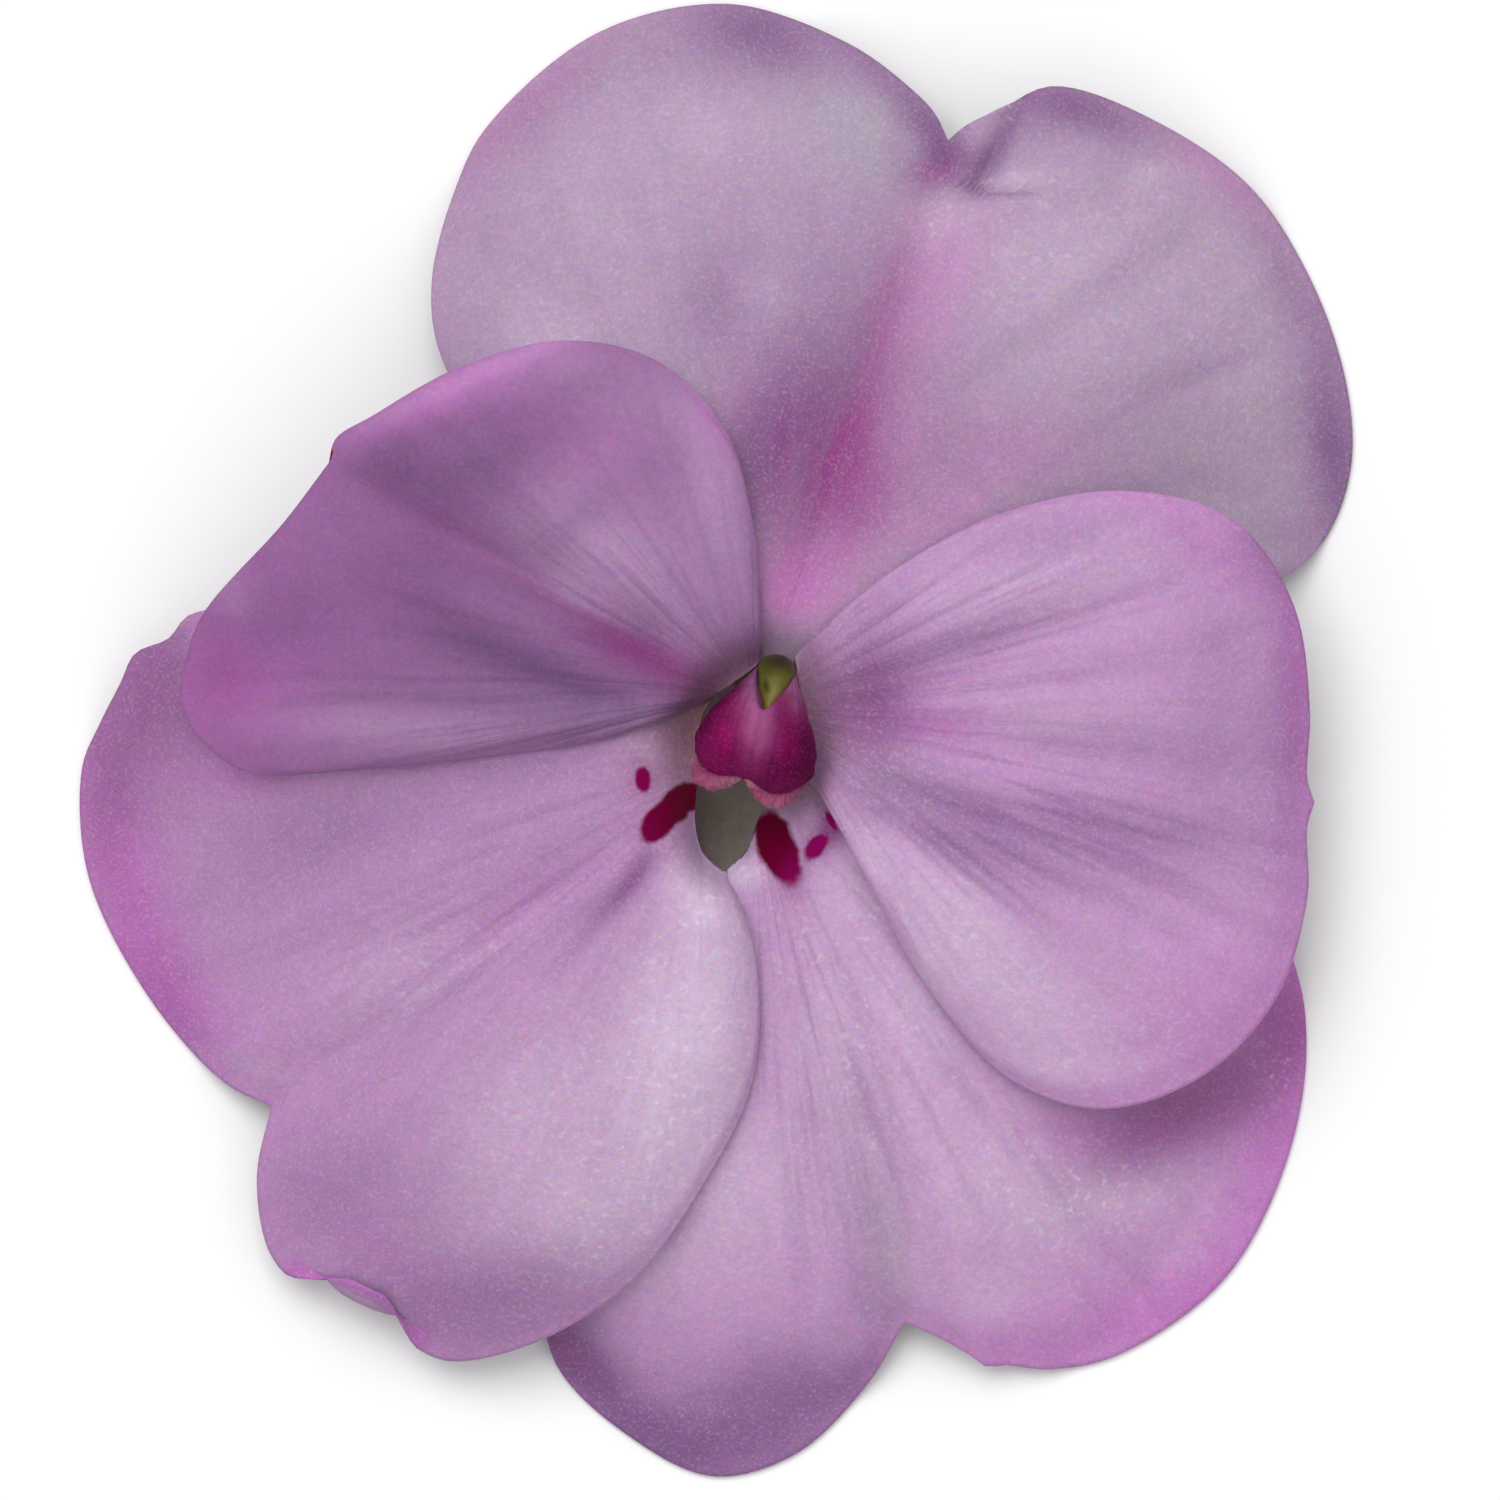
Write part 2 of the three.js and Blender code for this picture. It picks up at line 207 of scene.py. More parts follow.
@dataclass(frozen=True)
class Roll:
    """A stretch of rim that rolls over onto its petal and shows its pink back.

    It starts and ends at shares across the petal. The crest and the flush are shares out from the claw.
    """

    start: float
    end: float
    ease: float = 0.035
    crest: float = 0.945
    flush: Pair = (0.95, 0.975)
    pull: float = 1.5
    height: float = 0.45

    def turn_over(self, a: float, t: float) -> Pair:
        """Where the roll takes a point of the petal's sheet.

        Args:
            a: Share across the petal.
            t: Share out from the claw.

        Returns:
            The new share out from the claw, and the lift in millimetres.
        """
        window = smooth_step(self.start, self.start + self.ease, a)
        window *= 1.0 - smooth_step(self.end - self.ease, self.end, a)
        turn = math.pi * window * smooth_step(self.crest, 1.0, t)
        reach = t - max(t - self.crest, 0.0) * self.pull * window
        return reach, self.height * (1.0 - math.cos(turn))


class SmoothCurve:
    """A smooth curve through points, read by share of its length."""

    STEPS = 24
    NEAR = 0.01

    def __init__(self, points: list[Vector]) -> None:
        """Samples a centripetal Catmull-Rom curve.

        Args:
            points: The points that the curve passes through, in millimetres.
        """
        ends = [points[0] * 2 - points[1], *points, points[-1] * 2 - points[-2]]
        self.samples: list[Vector] = [points[0].copy()]
        for i in range(len(points) - 1):
            p0, p1, p2, p3 = ends[i : i + 4]
            d0, d1, d2 = (math.sqrt((q - p).length) for p, q in ((p0, p1), (p1, p2), (p2, p3)))
            out = ((p1 - p0) / d0 - (p2 - p0) / (d0 + d1) + (p2 - p1) / d1) * d1
            back = ((p2 - p1) / d1 - (p3 - p1) / (d1 + d2) + (p3 - p2) / d2) * d1
            for k in range(1, self.STEPS + 1):
                u = k / self.STEPS
                cubic = (2 * p1 - 2 * p2 + out + back) * u**3 + (3 * p2 - 3 * p1 - 2 * out - back) * u**2
                self.samples.append(cubic + out * u + p1)
        self.lengths: list[float] = [0.0]
        for before, after in zip(self.samples, self.samples[1:]):
            self.lengths.append(self.lengths[-1] + (after - before).length)

    def at(self, share: float) -> Vector:
        """The point at a share of the curve's length.

        Args:
            share: From 0 at the start to 1 at the end.

        Returns:
            The point, in millimetres.
        """
        goal = min(max(share, 0.0), 1.0) * self.lengths[-1]
        low, high = 0, len(self.lengths) - 1
        while high - low > 1:
            middle = (low + high) // 2
            if self.lengths[middle] <= goal:
                low = middle
            else:
                high = middle
        rest = (goal - self.lengths[low]) / (self.lengths[high] - self.lengths[low])
        return self.samples[low].lerp(self.samples[high], rest)

    def direction(self, share: float) -> Vector:
        """The curve's unit direction at a share of its length.

        Args:
            share: From 0 at the start to 1 at the end.

        Returns:
            A unit vector.
        """
        return (self.at(share + self.NEAR) - self.at(share - self.NEAR)).normalized()


def on_axis(point: Triple) -> Vector:
    """A point given along and across the throat's axis.

    Args:
        point: Distance along the axis, distance across it and height, in millimetres.

    Returns:
        The point in plan coordinates.
    """
    return ALONG * point[0] + ACROSS * point[1] + UP * point[2]


def blend_sizes(sizes: tuple[Pair, ...], share: float) -> Pair:
    """Reads equally spaced sizes smoothly.

    Args:
        sizes: Pairs of half-width and half-depth.
        share: Where to read them, from 0 to 1.

    Returns:
        The pair there.
    """
    place = min(max(share, 0.0), 1.0) * (len(sizes) - 1)
    low = min(int(place), len(sizes) - 2)
    u = place - low
    before, start = sizes[max(low - 1, 0)], sizes[low]
    end, after = sizes[low + 1], sizes[min(low + 2, len(sizes) - 1)]
    pair = []
    for p0, p1, p2, p3 in zip(before, start, end, after):
        bend = (2 * p0 - 5 * p1 + 4 * p2 - p3) * u * u + (3 * p1 - p0 - 3 * p2 + p3) * u**3
        pair.append(p1 + 0.5 * ((p2 - p0) * u + bend))
    return pair[0], pair[1]


def smooth_step(low: float, high: float, value: float) -> float:
    """A smooth rise from 0 at low to 1 at high.

    Args:
        low: Where the rise starts.
        high: Where it ends.
        value: Where to read it.

    Returns:
        The rise at value.
    """
    share = min(max((value - low) / (high - low), 0.0), 1.0)
    return share * share * (3.0 - 2.0 * share)


def linear(hex_colour: str) -> tuple[float, float, float, float]:
    """Turns an sRGB hex colour to linear light.

    Args:
        hex_colour: Six hex digits.

    Returns:
        Linear red, green, blue and an alpha of 1.
    """
    shares = [int(hex_colour[i : i + 2], 16) / 255 for i in (0, 2, 4)]
    light = [c / 12.92 if c <= 0.04045 else ((c + 0.055) / 1.055) ** 2.4 for c in shares]
    return light[0], light[1], light[2], 1.0


def add_node(tree: bpy.types.NodeTree, kind: str, settings: dict, inputs: dict) -> bpy.types.Node:
    """Adds a shader node with its settings and links.

    Args:
        tree: The node tree to add to.
        kind: The node's type name.
        settings: Values of the node's own properties.
        inputs: A value, or an output socket to link from, for each input by name or number.

    Returns:
        The new node.
    """
    node = tree.nodes.new(kind)
    for name, value in settings.items():
        setattr(node, name, value)
    for key, value in inputs.items():
        if isinstance(value, bpy.types.NodeSocket):
            tree.links.new(value, node.inputs[key])
        else:
            node.inputs[key].default_value = value
    return node


def new_material(name: str) -> bpy.types.Material:
    """A material whose node tree is still empty.

    Args:
        name: The material's name.

    Returns:
        The material.
    """
    material = bpy.data.materials.new(name)
    material.use_nodes = True
    material.node_tree.nodes.clear()
    return material


@dataclass(frozen=True)
class TissueFinish:
    """Living plant tissue: a soft, slightly waxy skin over wet cells that let some light through.

    Sizes are in millimetres. The glints of the wet cells are painted into the colour as bright specks a few
    cells wide, as single cells are too fine to show. The ends of a pattern are the values between which its
    effect sets in.
    """

    name: str
    ground: str
    tones: tuple[tuple[TintKind, str], ...]
    streak_tone: str
    has_marks: bool = False
    mark: str = "5e0024"
    mark_tip: str = "8e0860"
    roughness: float = 0.55
    sheen: float = 0.02
    gloss: float = 0.2
    see_in: float = 0.12
    streaks: float = 0.1
    streak_spacing: Pair = (52.0, 2.2)
    streak_ends: Pair = (0.46, 0.64)
    vein_gain: float = 4.4
    vein_least: float = 0.6
    mottle: float = 0.035
    mottle_size: float = 1.1
    mottle_ends: Pair = (0.3, 0.7)
    mark_waver: float = 0.5
    mark_ends: Pair = (0.64, 0.86)
    speckle: float = 0.22
    speckle_size: float = 0.26
    painted_glint: float = 0.2
    painted_glint_tone: str = "e4d8e6"
    cell: float = 0.13
    cell_ends: Pair = (0.48, 0.8)
    cell_share: float = 0.8
    group_cells: float = 2.6
    group_ends: Pair = (0.58, 0.74)
    group_share: float = 2.2
    cell_height: float = 0.03
    crepe: float = 1.6

    def patterns(
        self, tree: bpy.types.NodeTree, places: bpy.types.NodeSocket
    ) -> dict[str, bpy.types.NodeSocket]:
        """Adds what the colour and the relief both follow.

        Args:
            tree: The node tree to add to.
            places: The place on the piece.

        Returns:
            Each tint's strength, the fine streaks, their strength, the mottle and the cells, by name.
        """
        found = {}
        for kind in TintKind:
            tint = add_node(tree, "ShaderNodeAttribute", {"attribute_name": kind.value}, {})
            found[kind.value] = tint.outputs["Fac"]
        # Fine streaks fan out from the claw, and are strongest along the veins.
        fan = add_node(tree, "ShaderNodeUVMap", {"uv_map": "fan"}, {}).outputs["UV"]
        stretch = {"Vector": fan, "Scale": (*self.streak_spacing, 1.0)}
        drawn_out = add_node(tree, "ShaderNodeMapping", {}, stretch).outputs[0]
        lines = {"Vector": drawn_out, "Scale": 1.0, "Detail": 4.0}
        found["streaks"] = add_node(tree, NOISE, {}, lines).outputs["Fac"]
        gain = {0: found["vein"], 1: self.vein_gain, 2: self.vein_least}
        found["streak_strength"] = add_node(tree, MATH, MULTIPLY_ADD, gain).outputs[0]
        for name, size, detail in (("mottle", self.mottle_size, 6.0), ("cells", self.cell, 2.0)):
            grains = {"Vector": places, "Scale": 1.0 / (size * MM), "Detail": detail}
            found[name] = add_node(tree, NOISE, {}, grains).outputs["Fac"]
        return found

    def body_colour(
        self, tree: bpy.types.NodeTree, places: bpy.types.NodeSocket, found: dict[str, bpy.types.NodeSocket]
    ) -> bpy.types.NodeSocket:
        """Adds the tissue's colour, with its painted light, shade and glints, but without the marks.

        Args:
            tree: The node tree to add to.
            places: The place on the piece.
            found: The patterns.

        Returns:
            The colour.
        """
        low, high = self.streak_ends
        rise = {"Value": found["streaks"], "From Min": low, "From Max": high, "To Max": self.streaks}
        streaked = {0: add_node(tree, RANGE, SMOOTH, rise).outputs[0], 1: found["streak_strength"]}
        in_streaks = add_node(tree, MATH, MULTIPLY, streaked).outputs[0]
        coats = [(found[kind.value], tone) for kind, tone in self.tones]
        colour = linear(self.ground)
        for share, tone in (*coats, (in_streaks, self.streak_tone)):
            colour = add_node(tree, MIX, OF_COLOURS, {0: share, 6: colour, 7: linear(tone)}).outputs[2]
        # The tissue is mottled over a millimetre or so.
        swing = {
            "Value": found["mottle"],
            "From Min": self.mottle_ends[0],
            "From Max": self.mottle_ends[1],
            "To Min": 1.0 - self.mottle,
            "To Max": 1.0 + self.mottle,
        }
        dappled = {0: colour, "Scale": add_node(tree, RANGE, {"clamp": False}, swing).outputs[0]}
        colour = add_node(tree, VECTOR_MATH, {"operation": "SCALE"}, dappled).outputs[0]
        # Groups of cells differ a little in hue and in depth of colour.
        grains = {"Vector": places, "Scale": 1.0 / (self.speckle_size * MM), "Detail": 2.0}
        hues = add_node(tree, NOISE, {}, grains).outputs["Color"]
        around_one = {0: hues, 1: (2.0 * self.speckle,) * 3, 2: (1.0 - self.speckle,) * 3}
        speckled = {0: colour, 1: add_node(tree, VECTOR_MATH, MULTIPLY_ADD, around_one).outputs[0]}
        colour = add_node(tree, VECTOR_MATH, MULTIPLY, speckled).outputs[0]
        # Painted glints: single cells, and small groups of them where the tissue is pale, are lightened
        # towards the glint tone to stand for the light that they catch.
        low, high = self.cell_ends
        most = self.cell_share * self.painted_glint
        rise = {"Value": found["cells"], "From Min": low, "From Max": high, "To Max": most}
        fine = add_node(tree, RANGE, SMOOTH, rise).outputs[0]
        grains = {"Vector": places, "Scale": 1.0 / (self.group_cells * self.cell * MM), "Detail": 1.0}
        groups = add_node(tree, NOISE, {}, grains).outputs["Fac"]
        low, high = self.group_ends
        most = self.group_share * self.painted_glint
        rise = {"Value": groups, "From Min": low, "From Max": high, "To Max": most}
        where_pale = {0: add_node(tree, RANGE, SMOOTH, rise).outputs[0], 1: found["pale"]}
        coarse = add_node(tree, MATH, MULTIPLY, where_pale).outputs[0]
        for share in (fine, coarse):
            bright = {0: share, 6: colour, 7: linear(self.painted_glint_tone)}
            colour = add_node(tree, MIX, OF_COLOURS, bright).outputs[2]
        return colour

    def build(self) -> bpy.types.Material:
        """Makes the material.

        Returns:
            The material, with its colour and relief made by nodes.
        """
        material = new_material(self.name)
        tree = material.node_tree
        places = add_node(tree, "ShaderNodeTexCoord", {}, {}).outputs["Object"]
        found = self.patterns(tree, places)
        colour = self.body_colour(tree, places, found)
        glint = linear("ffffff")
        if self.has_marks:
            # The crimson marks are pinker at their tips and have a crisp edge that wavers by a cell or two.
            # They are velvety, so the light that glances off them takes their colour.
            waver = {0: found["mottle"], 1: self.mark_waver, 2: found["mark"]}
            ragged = add_node(tree, MATH, MULTIPLY_ADD, waver).outputs[0]
            low, high = self.mark_ends
            rise = {"Value": ragged, "From Min": low, "From Max": high, "To Max": 1.0}
            marked = add_node(tree, RANGE, SMOOTH, rise).outputs[0]
            tones = {0: found["rose"], 6: linear(self.mark), 7: linear(self.mark_tip)}
            crimson = add_node(tree, MIX, OF_COLOURS, tones).outputs[2]
            colour = add_node(tree, MIX, OF_COLOURS, {0: marked, 6: colour, 7: crimson}).outputs[2]
            glint = add_node(tree, MIX, OF_COLOURS, {0: marked, 6: glint, 7: linear(self.mark)}).outputs[2]
        # The relief is that of the cells, on top of the streaks and a crepe of soft wrinkles.
        ridges = {0: found["streaks"], 1: found["streak_strength"], 2: found["cells"]}
        relief = add_node(tree, MATH, MULTIPLY_ADD, ridges).outputs[0]
        relief = add_node(tree, MATH, MULTIPLY_ADD, {0: found["mottle"], 1: self.crepe, 2: relief}).outputs[0]
        height = {"Height": relief, "Distance": self.cell_height * MM, "Strength": 1.0}
        skin = {
            "Base Color": colour,
            "Normal": add_node(tree, "ShaderNodeBump", {}, height).outputs[0],
            "Roughness": self.roughness,
            "Specular IOR Level": self.gloss,
            "Specular Tint": glint,
            "Sheen Weight": self.sheen,
            "Sheen Roughness": 0.6,
            "Subsurface Weight": self.see_in,
            "Subsurface Radius": (0.8, 0.35, 0.6),
            "Subsurface Scale": 0.6 * MM,
            "IOR": 1.4,
        }
        surface = add_node(tree, SKIN_SHADER, {}, skin).outputs[0]
        add_node(tree, "ShaderNodeOutputMaterial", {}, {"Surface": surface})
        return material


@dataclass(frozen=True)
class PaperFinish:
    """Matt white paper under the bloom: even, with no gloss."""

    name: str = "matt white paper"
    colour: str = "fafafa"
    roughness: float = 0.9

    def build(self) -> bpy.types.Material:
        """Makes the material.

        Returns:
            The material.
        """
        material = new_material(self.name)
        tree = material.node_tree
        sheet = {"Base Color": linear(self.colour), "Roughness": self.roughness}
        surface = add_node(tree, SKIN_SHADER, {}, sheet).outputs[0]
        add_node(tree, "ShaderNodeOutputMaterial", {}, {"Surface": surface})
        return material


def map_fan(mesh: bmesh.types.BMesh, place: Callable[[bmesh.types.BMVert], Pair]) -> None:
    """Gives a mesh the UV map that its tissue's streaks follow.

    Args:
        mesh: The mesh, still in its starting shape.
        place: Gives the place of each vertex in the map.
    """
    fan = mesh.loops.layers.uv.new("fan")
    for face in mesh.faces:
        for loop in face.loops:
            loop[fan].uv = place(loop.vert)


def tint_layers(mesh: bmesh.types.BMesh) -> dict[TintKind, bmesh.types.BMLayerItem]:
    """Adds one attribute for each tint.

    Args:
        mesh: The mesh to add them to.

    Returns:
        The layer of each tint.
    """
    for kind in TintKind:
        mesh.verts.layers.float.new(kind.value)
    return {kind: mesh.verts.layers.float[kind.value] for kind in TintKind}


def sum_up(total: float, part: float) -> float:
    """Adds a part to a total."""
    return total + part


def tint_vertex(vertex: bmesh.types.BMVert, layers: dict, tints: tuple[Tint, ...]) -> None:
    """Sets a vertex's tints from the spots that reach it. Marks don't add up where they overlap.

    Args:
        vertex: The vertex, placed in millimetres.
        layers: The layer of each tint.
        tints: The spots.
    """
    totals = dict.fromkeys(TintKind, 0.0)
    for tint in tints:
        strength = tint.strength_at(vertex.co.x, vertex.co.y)
        overlap = max if tint.kind is TintKind.MARK else sum_up
        totals[tint.kind] = overlap(totals[tint.kind], strength)
    for kind, total in totals.items():
        vertex[layers[kind]] = min(max(total, 0.0), 1.0)


def finish_piece(
    mesh: bmesh.types.BMesh, name: str, node: str, material: bpy.types.Material
) -> bpy.types.Object:
    """Turns a mesh in millimetres into a finished object of the bloom.

    Args:
        mesh: The mesh in plan coordinates. It is freed.
        name: The object's name.
        node: The CAD node that it stands for.
        material: Its material.

    Returns:
        The object.
    """
    bmesh.ops.translate(mesh, verts=mesh.verts, vec=HOOD_PLACE)
    bmesh.ops.scale(mesh, verts=mesh.verts, vec=(MM, MM, MM))
    for face in mesh.faces:
        face.smooth = True
    data = bpy.data.meshes.new(name)
    mesh.to_mesh(data)
    mesh.free()
    piece = bpy.data.objects.new(name, data)
    bpy.context.scene.collection.objects.link(piece)
    data.materials.append(material)
    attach(piece, "root")
    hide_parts(node)
    LOG.info("%s: %d faces", name, len(data.polygons))
    return piece


def thicken(piece: bpy.types.Object, thickness: float, offset: float) -> bpy.types.Modifier:
    """Gives a sheet its thickness.

    Args:
        piece: The sheet.
        thickness: In millimetres.
        offset: 0 to grow to both sides, or -1 to grow inwards.

    Returns:
        The modifier.
    """
    blade = piece.modifiers.new("blade", "SOLIDIFY")
    blade.thickness = thickness * MM
    blade.offset = offset
    return blade


@dataclass
class Petal:
    """One two-lobed petal: a thin fan from its claw to its rim, creased along the middle.

    The claw and the rims of the lobes pass through their points. The shoulder is the height where the petal
    flares out of the throat, and the puff is how far each lobe domes up. Each pair that ends in "grow" or
    "grows" holds the shares out from the claw between which a form sets in.
    """

    name: str
    node: str
    slot: str
    claw_points: tuple[Triple, ...]
    shoulder: float
    puff: float
    crease: float
    first_lobe: tuple[Triple, ...]
    notch: Triple
    second_lobe: tuple[Triple, ...]
    folds: tuple[Fold, ...]
    tints: tuple[Tint, ...]
    furrow_depth: float
    rim_pink: float
    seed: float
    roll: Roll | None = None
    thickness: float = 0.3
    rim_thickness_share: float = 0.4
    dome_power: float = 1.5
    crease_half_width: float = 1.5
    folds_grow: Pair = (0.0, 0.25)
    broad_furrows: float = 9.0
    fine_furrows: float = 26.0
    wave_height: float = 0.35
    wave_pitch: float = 0.16
    waves_grow: Pair = (0.35, 0.9)
    rim_curl: float = 0.25
    curl_grows: Pair = (0.93, 1.0)
    rest_gap: float = 0.02
    rest_ease: float = 0.04
    cells_across: int = 210
    cells_out: int = 124
    claw_density: float = 1.15
    claw: SmoothCurve = field(init=False)
    lobes: list[SmoothCurve] = field(init=False)

    def __post_init__(self) -> None:
        """Draws the claw and the rims of the two lobes."""
        self.claw = SmoothCurve([Vector(point) for point in self.claw_points])
        tip = Vector(self.notch)
        first = [Vector(point) for point in self.first_lobe]
        second = [Vector(point) for point in self.second_lobe]
        self.lobes = [SmoothCurve([*first, tip]), SmoothCurve([tip, *second])]

    def rim(self, a: float) -> Vector:
        """A point of the rim.

        Args:
            a: Share across the petal, with the notch at a half.

        Returns:
            The point in plan coordinates.
        """
        return self.lobes[0].at(a * 2.0) if a <= 0.5 else self.lobes[1].at(a * 2.0 - 1.0)

    def furrows(self, a: float, t: float) -> float:
        """Height of the fine furrows that fan out from the claw.

        Args:
            a: Share across the petal.
            t: Share out from the claw.

        Returns:
            The height in millimetres.
        """
        broad = noise.noise(Vector((a * self.broad_furrows, t * 1.1, self.seed)))
        fine = noise.noise(Vector((a * self.fine_furrows, t * 1.7, self.seed + 7.0)))
        return self.furrow_depth * (0.7 * broad + 0.8 * fine) * math.sin(math.pi * min(t * 1.05, 1.0)) ** 0.6

    def sheet_point(self, a: float, t: float, foot: Vector, rim: Vector) -> Vector:
        """A point of the petal's middle sheet.

        Args:
            a: Share across the petal.
            t: Share out from the claw.
            foot: The claw's point at a.
            rim: The rim's point at a.

        Returns:
            The point in plan coordinates.
        """
        reach, lift = self.roll.turn_over(a, t) if self.roll else (t, 0.0)
        point = foot.lerp(rim, reach)
        from_claw = (point - foot).xy.length
        in_lobe = a * 2.0 if a <= 0.5 else a * 2.0 - 1.0
        root = self.claw.at(0.5)
        middle = (Vector(self.notch).xy - root.xy).normalized()
        from_middle = (point.x - root.x) * middle.y - (point.y - root.y) * middle.x
        bow = math.sin(math.pi * t)
        height = self.shoulder + (rim.z - self.shoulder) * reach * reach
        height -= (self.shoulder - foot.z) * math.exp(-((from_claw / FUNNEL) ** 2))
        height += self.puff * math.sin(math.pi * in_lobe) ** self.dome_power * bow**self.dome_power
        height -= self.crease * math.exp(-((from_middle / self.crease_half_width) ** 2)) * bow
        folded = sum(fold.depth_at(point.x, point.y) for fold in self.folds)
        height -= folded * smooth_step(*self.folds_grow, t)
        height += self.furrows(a, t) + lift
        on_wave = Vector((point.x * self.wave_pitch, point.y * self.wave_pitch, self.seed + 3.0))
        height += self.wave_height * noise.noise(on_wave) * smooth_step(*self.waves_grow, t)
        height -= self.rim_curl * smooth_step(*self.curl_grows, t)
        # Where the sheet would sink into the surface below, it eases out flat on it.
        resting = self.thickness / 2 + self.rest_gap
        point.z = 0.5 * (height + resting + math.sqrt((height - resting) ** 2 + self.rest_ease))
        return point

    def build(self, material: bpy.types.Material) -> None:
        """Makes the petal.

        Args:
            material: The petal's material.
        """
        mesh = bmesh.new()
        bmesh.ops.create_grid(mesh, x_segments=self.cells_across, y_segments=self.cells_out, size=0.5)
        weights = mesh.verts.layers.deform.new()
        layers = tint_layers(mesh)
        shares = {}
        for vertex in mesh.verts:
            shares[vertex] = (vertex.co.x + 0.5, (vertex.co.y + 0.5) ** self.claw_density)
        map_fan(mesh, lambda vertex: shares[vertex])
        columns = {}
        for vertex, (a, t) in shares.items():
            key = round(a, 6)
            if key not in columns:
                columns[key] = (self.claw.at(a), self.rim(a))
            foot, rim = columns[key]
            vertex.co = self.sheet_point(a, t, foot, rim)
            vertex[weights][0] = 1.0 - smooth_step(RIM_FROM, 1.0, t)
        self.paint(shares, layers)
        petal = finish_piece(mesh, self.name, self.node, material)
        petal.vertex_groups.new(name="body")
        blade = thicken(petal, self.thickness, 0.0)
        blade.vertex_group = "body"
        blade.thickness_vertex_group = self.rim_thickness_share

    def paint(self, shares: dict[bmesh.types.BMVert, Pair], layers: dict) -> None:
        """Tints the petal.

        Args:
            shares: The shares across and out of each vertex, which is placed in millimetres.
            layers: The layer of each tint.
        """
        for vertex, (a, t) in shares.items():
            tint_vertex(vertex, layers, self.tints)
            rim = smooth_step(RIM_FROM, 1.0, t) * self.rim_pink
            if self.roll and self.roll.start < a < self.roll.end:
                rim = max(rim, smooth_step(*self.roll.flush, t))
            vertex[layers[TintKind.PINK]] = min(vertex[layers[TintKind.PINK]] + rim, 1.0)


def plain_shape(share: float, turn: float) -> Triple:
    """Leaves a form's girth and length as they are: factors of 1 and a shift of 0."""
    return 1.0, 1.0, 0.0


@dataclass
class PathForm:
    """A closed round form that follows a path, such as a stalk, a spur or the hood.

    The sizes are half-widths and half-depths, equally spaced along the path. A blunt end is rounded over the
    given share of the path's length.
    """

    name: str
    node: str
    slot: str
    path: tuple[Triple, ...]
    sizes: tuple[Pair, ...]
    tints: tuple[Tint, ...] = ()
    sides: int = 32
    steps: int = 80
    blunt_start: float = 0.02
    blunt_end: float = 0.02
    sideways: Vector | None = None
    placing: Callable[[Triple], Vector] = on_axis
    shape: Callable[[float, float], Triple] = plain_shape
    grain: float = 0.0
    grain_pitch: float = 2.1

    def ring_reach(self, share: float) -> float:
        """How far a ring reaches out, which shrinks to a point in a round end.

        Args:
            share: From 0 at the start to 1 at the end.

        Returns:
            From 0 to 1.
        """
        start = min(share / self.blunt_start, 1.0)
        end = min((1.0 - share) / self.blunt_end, 1.0)
        return math.sqrt(1.0 - (1.0 - start) ** 2) * math.sqrt(1.0 - (1.0 - end) ** 2)

    def ring_point(self, curve: SmoothCurve, share: float, turn: float) -> Vector:
        """A point of the form's skin.

        Args:
            curve: The form's path.
            share: From 0 at the path's start to 1 at its end.
            turn: Angle round the path, with the top at a right angle.

        Returns:
            The point in plan coordinates, never under the surface that the bloom lies on.
        """
        tangent = curve.direction(share)
        side = self.sideways.copy() if self.sideways else tangent.cross(UP).normalized()
        top = side.cross(tangent)
        half_width, half_depth = blend_sizes(self.sizes, share)
        wider, deeper, shift = self.shape(share, turn)
        reach = self.ring_reach(share)
        place = curve.at(share) + tangent * shift
        place += side * reach * half_width * wider * math.cos(turn)
        place += top * reach * half_depth * deeper * math.sin(turn)
        if self.grain:
            place += (place - curve.at(share)) * self.grain * noise.noise(place * self.grain_pitch)
        place.z = max(place.z, 0.0)
        return place

    def build(self, material: bpy.types.Material) -> None:
        """Makes the form.

        Args:
            material: Its material.
        """
        curve = SmoothCurve([self.placing(point) for point in self.path])
        mesh = bmesh.new()
        bmesh.ops.create_uvsphere(mesh, u_segments=self.sides, v_segments=self.steps, radius=1.0)
        map_fan(mesh, lambda vertex: (turn_of(vertex) / math.tau + 0.5, from_pole(vertex)))
        for vertex in mesh.verts:
            vertex.co = self.ring_point(curve, 1.0 - from_pole(vertex), turn_of(vertex))
        bmesh.ops.recalc_face_normals(mesh, faces=mesh.faces)
        layers = tint_layers(mesh)
        for vertex in mesh.verts:
            tint_vertex(vertex, layers, self.tints)
        finish_piece(mesh, self.name, self.node, material)


def turn_of(vertex: bmesh.types.BMVert) -> float:
    """The angle of a vertex round the vertical axis, in radians."""
    return math.atan2(vertex.co.y, vertex.co.x)


def from_pole(vertex: bmesh.types.BMVert) -> float:
    """How far down a unit sphere a vertex lies.

    Args:
        vertex: A vertex of the sphere.

    Returns:
        From 0 at the upper pole to 1 at the lower one.
    """
    return math.acos(min(max(vertex.co.z, -1.0), 1.0)) / math.pi


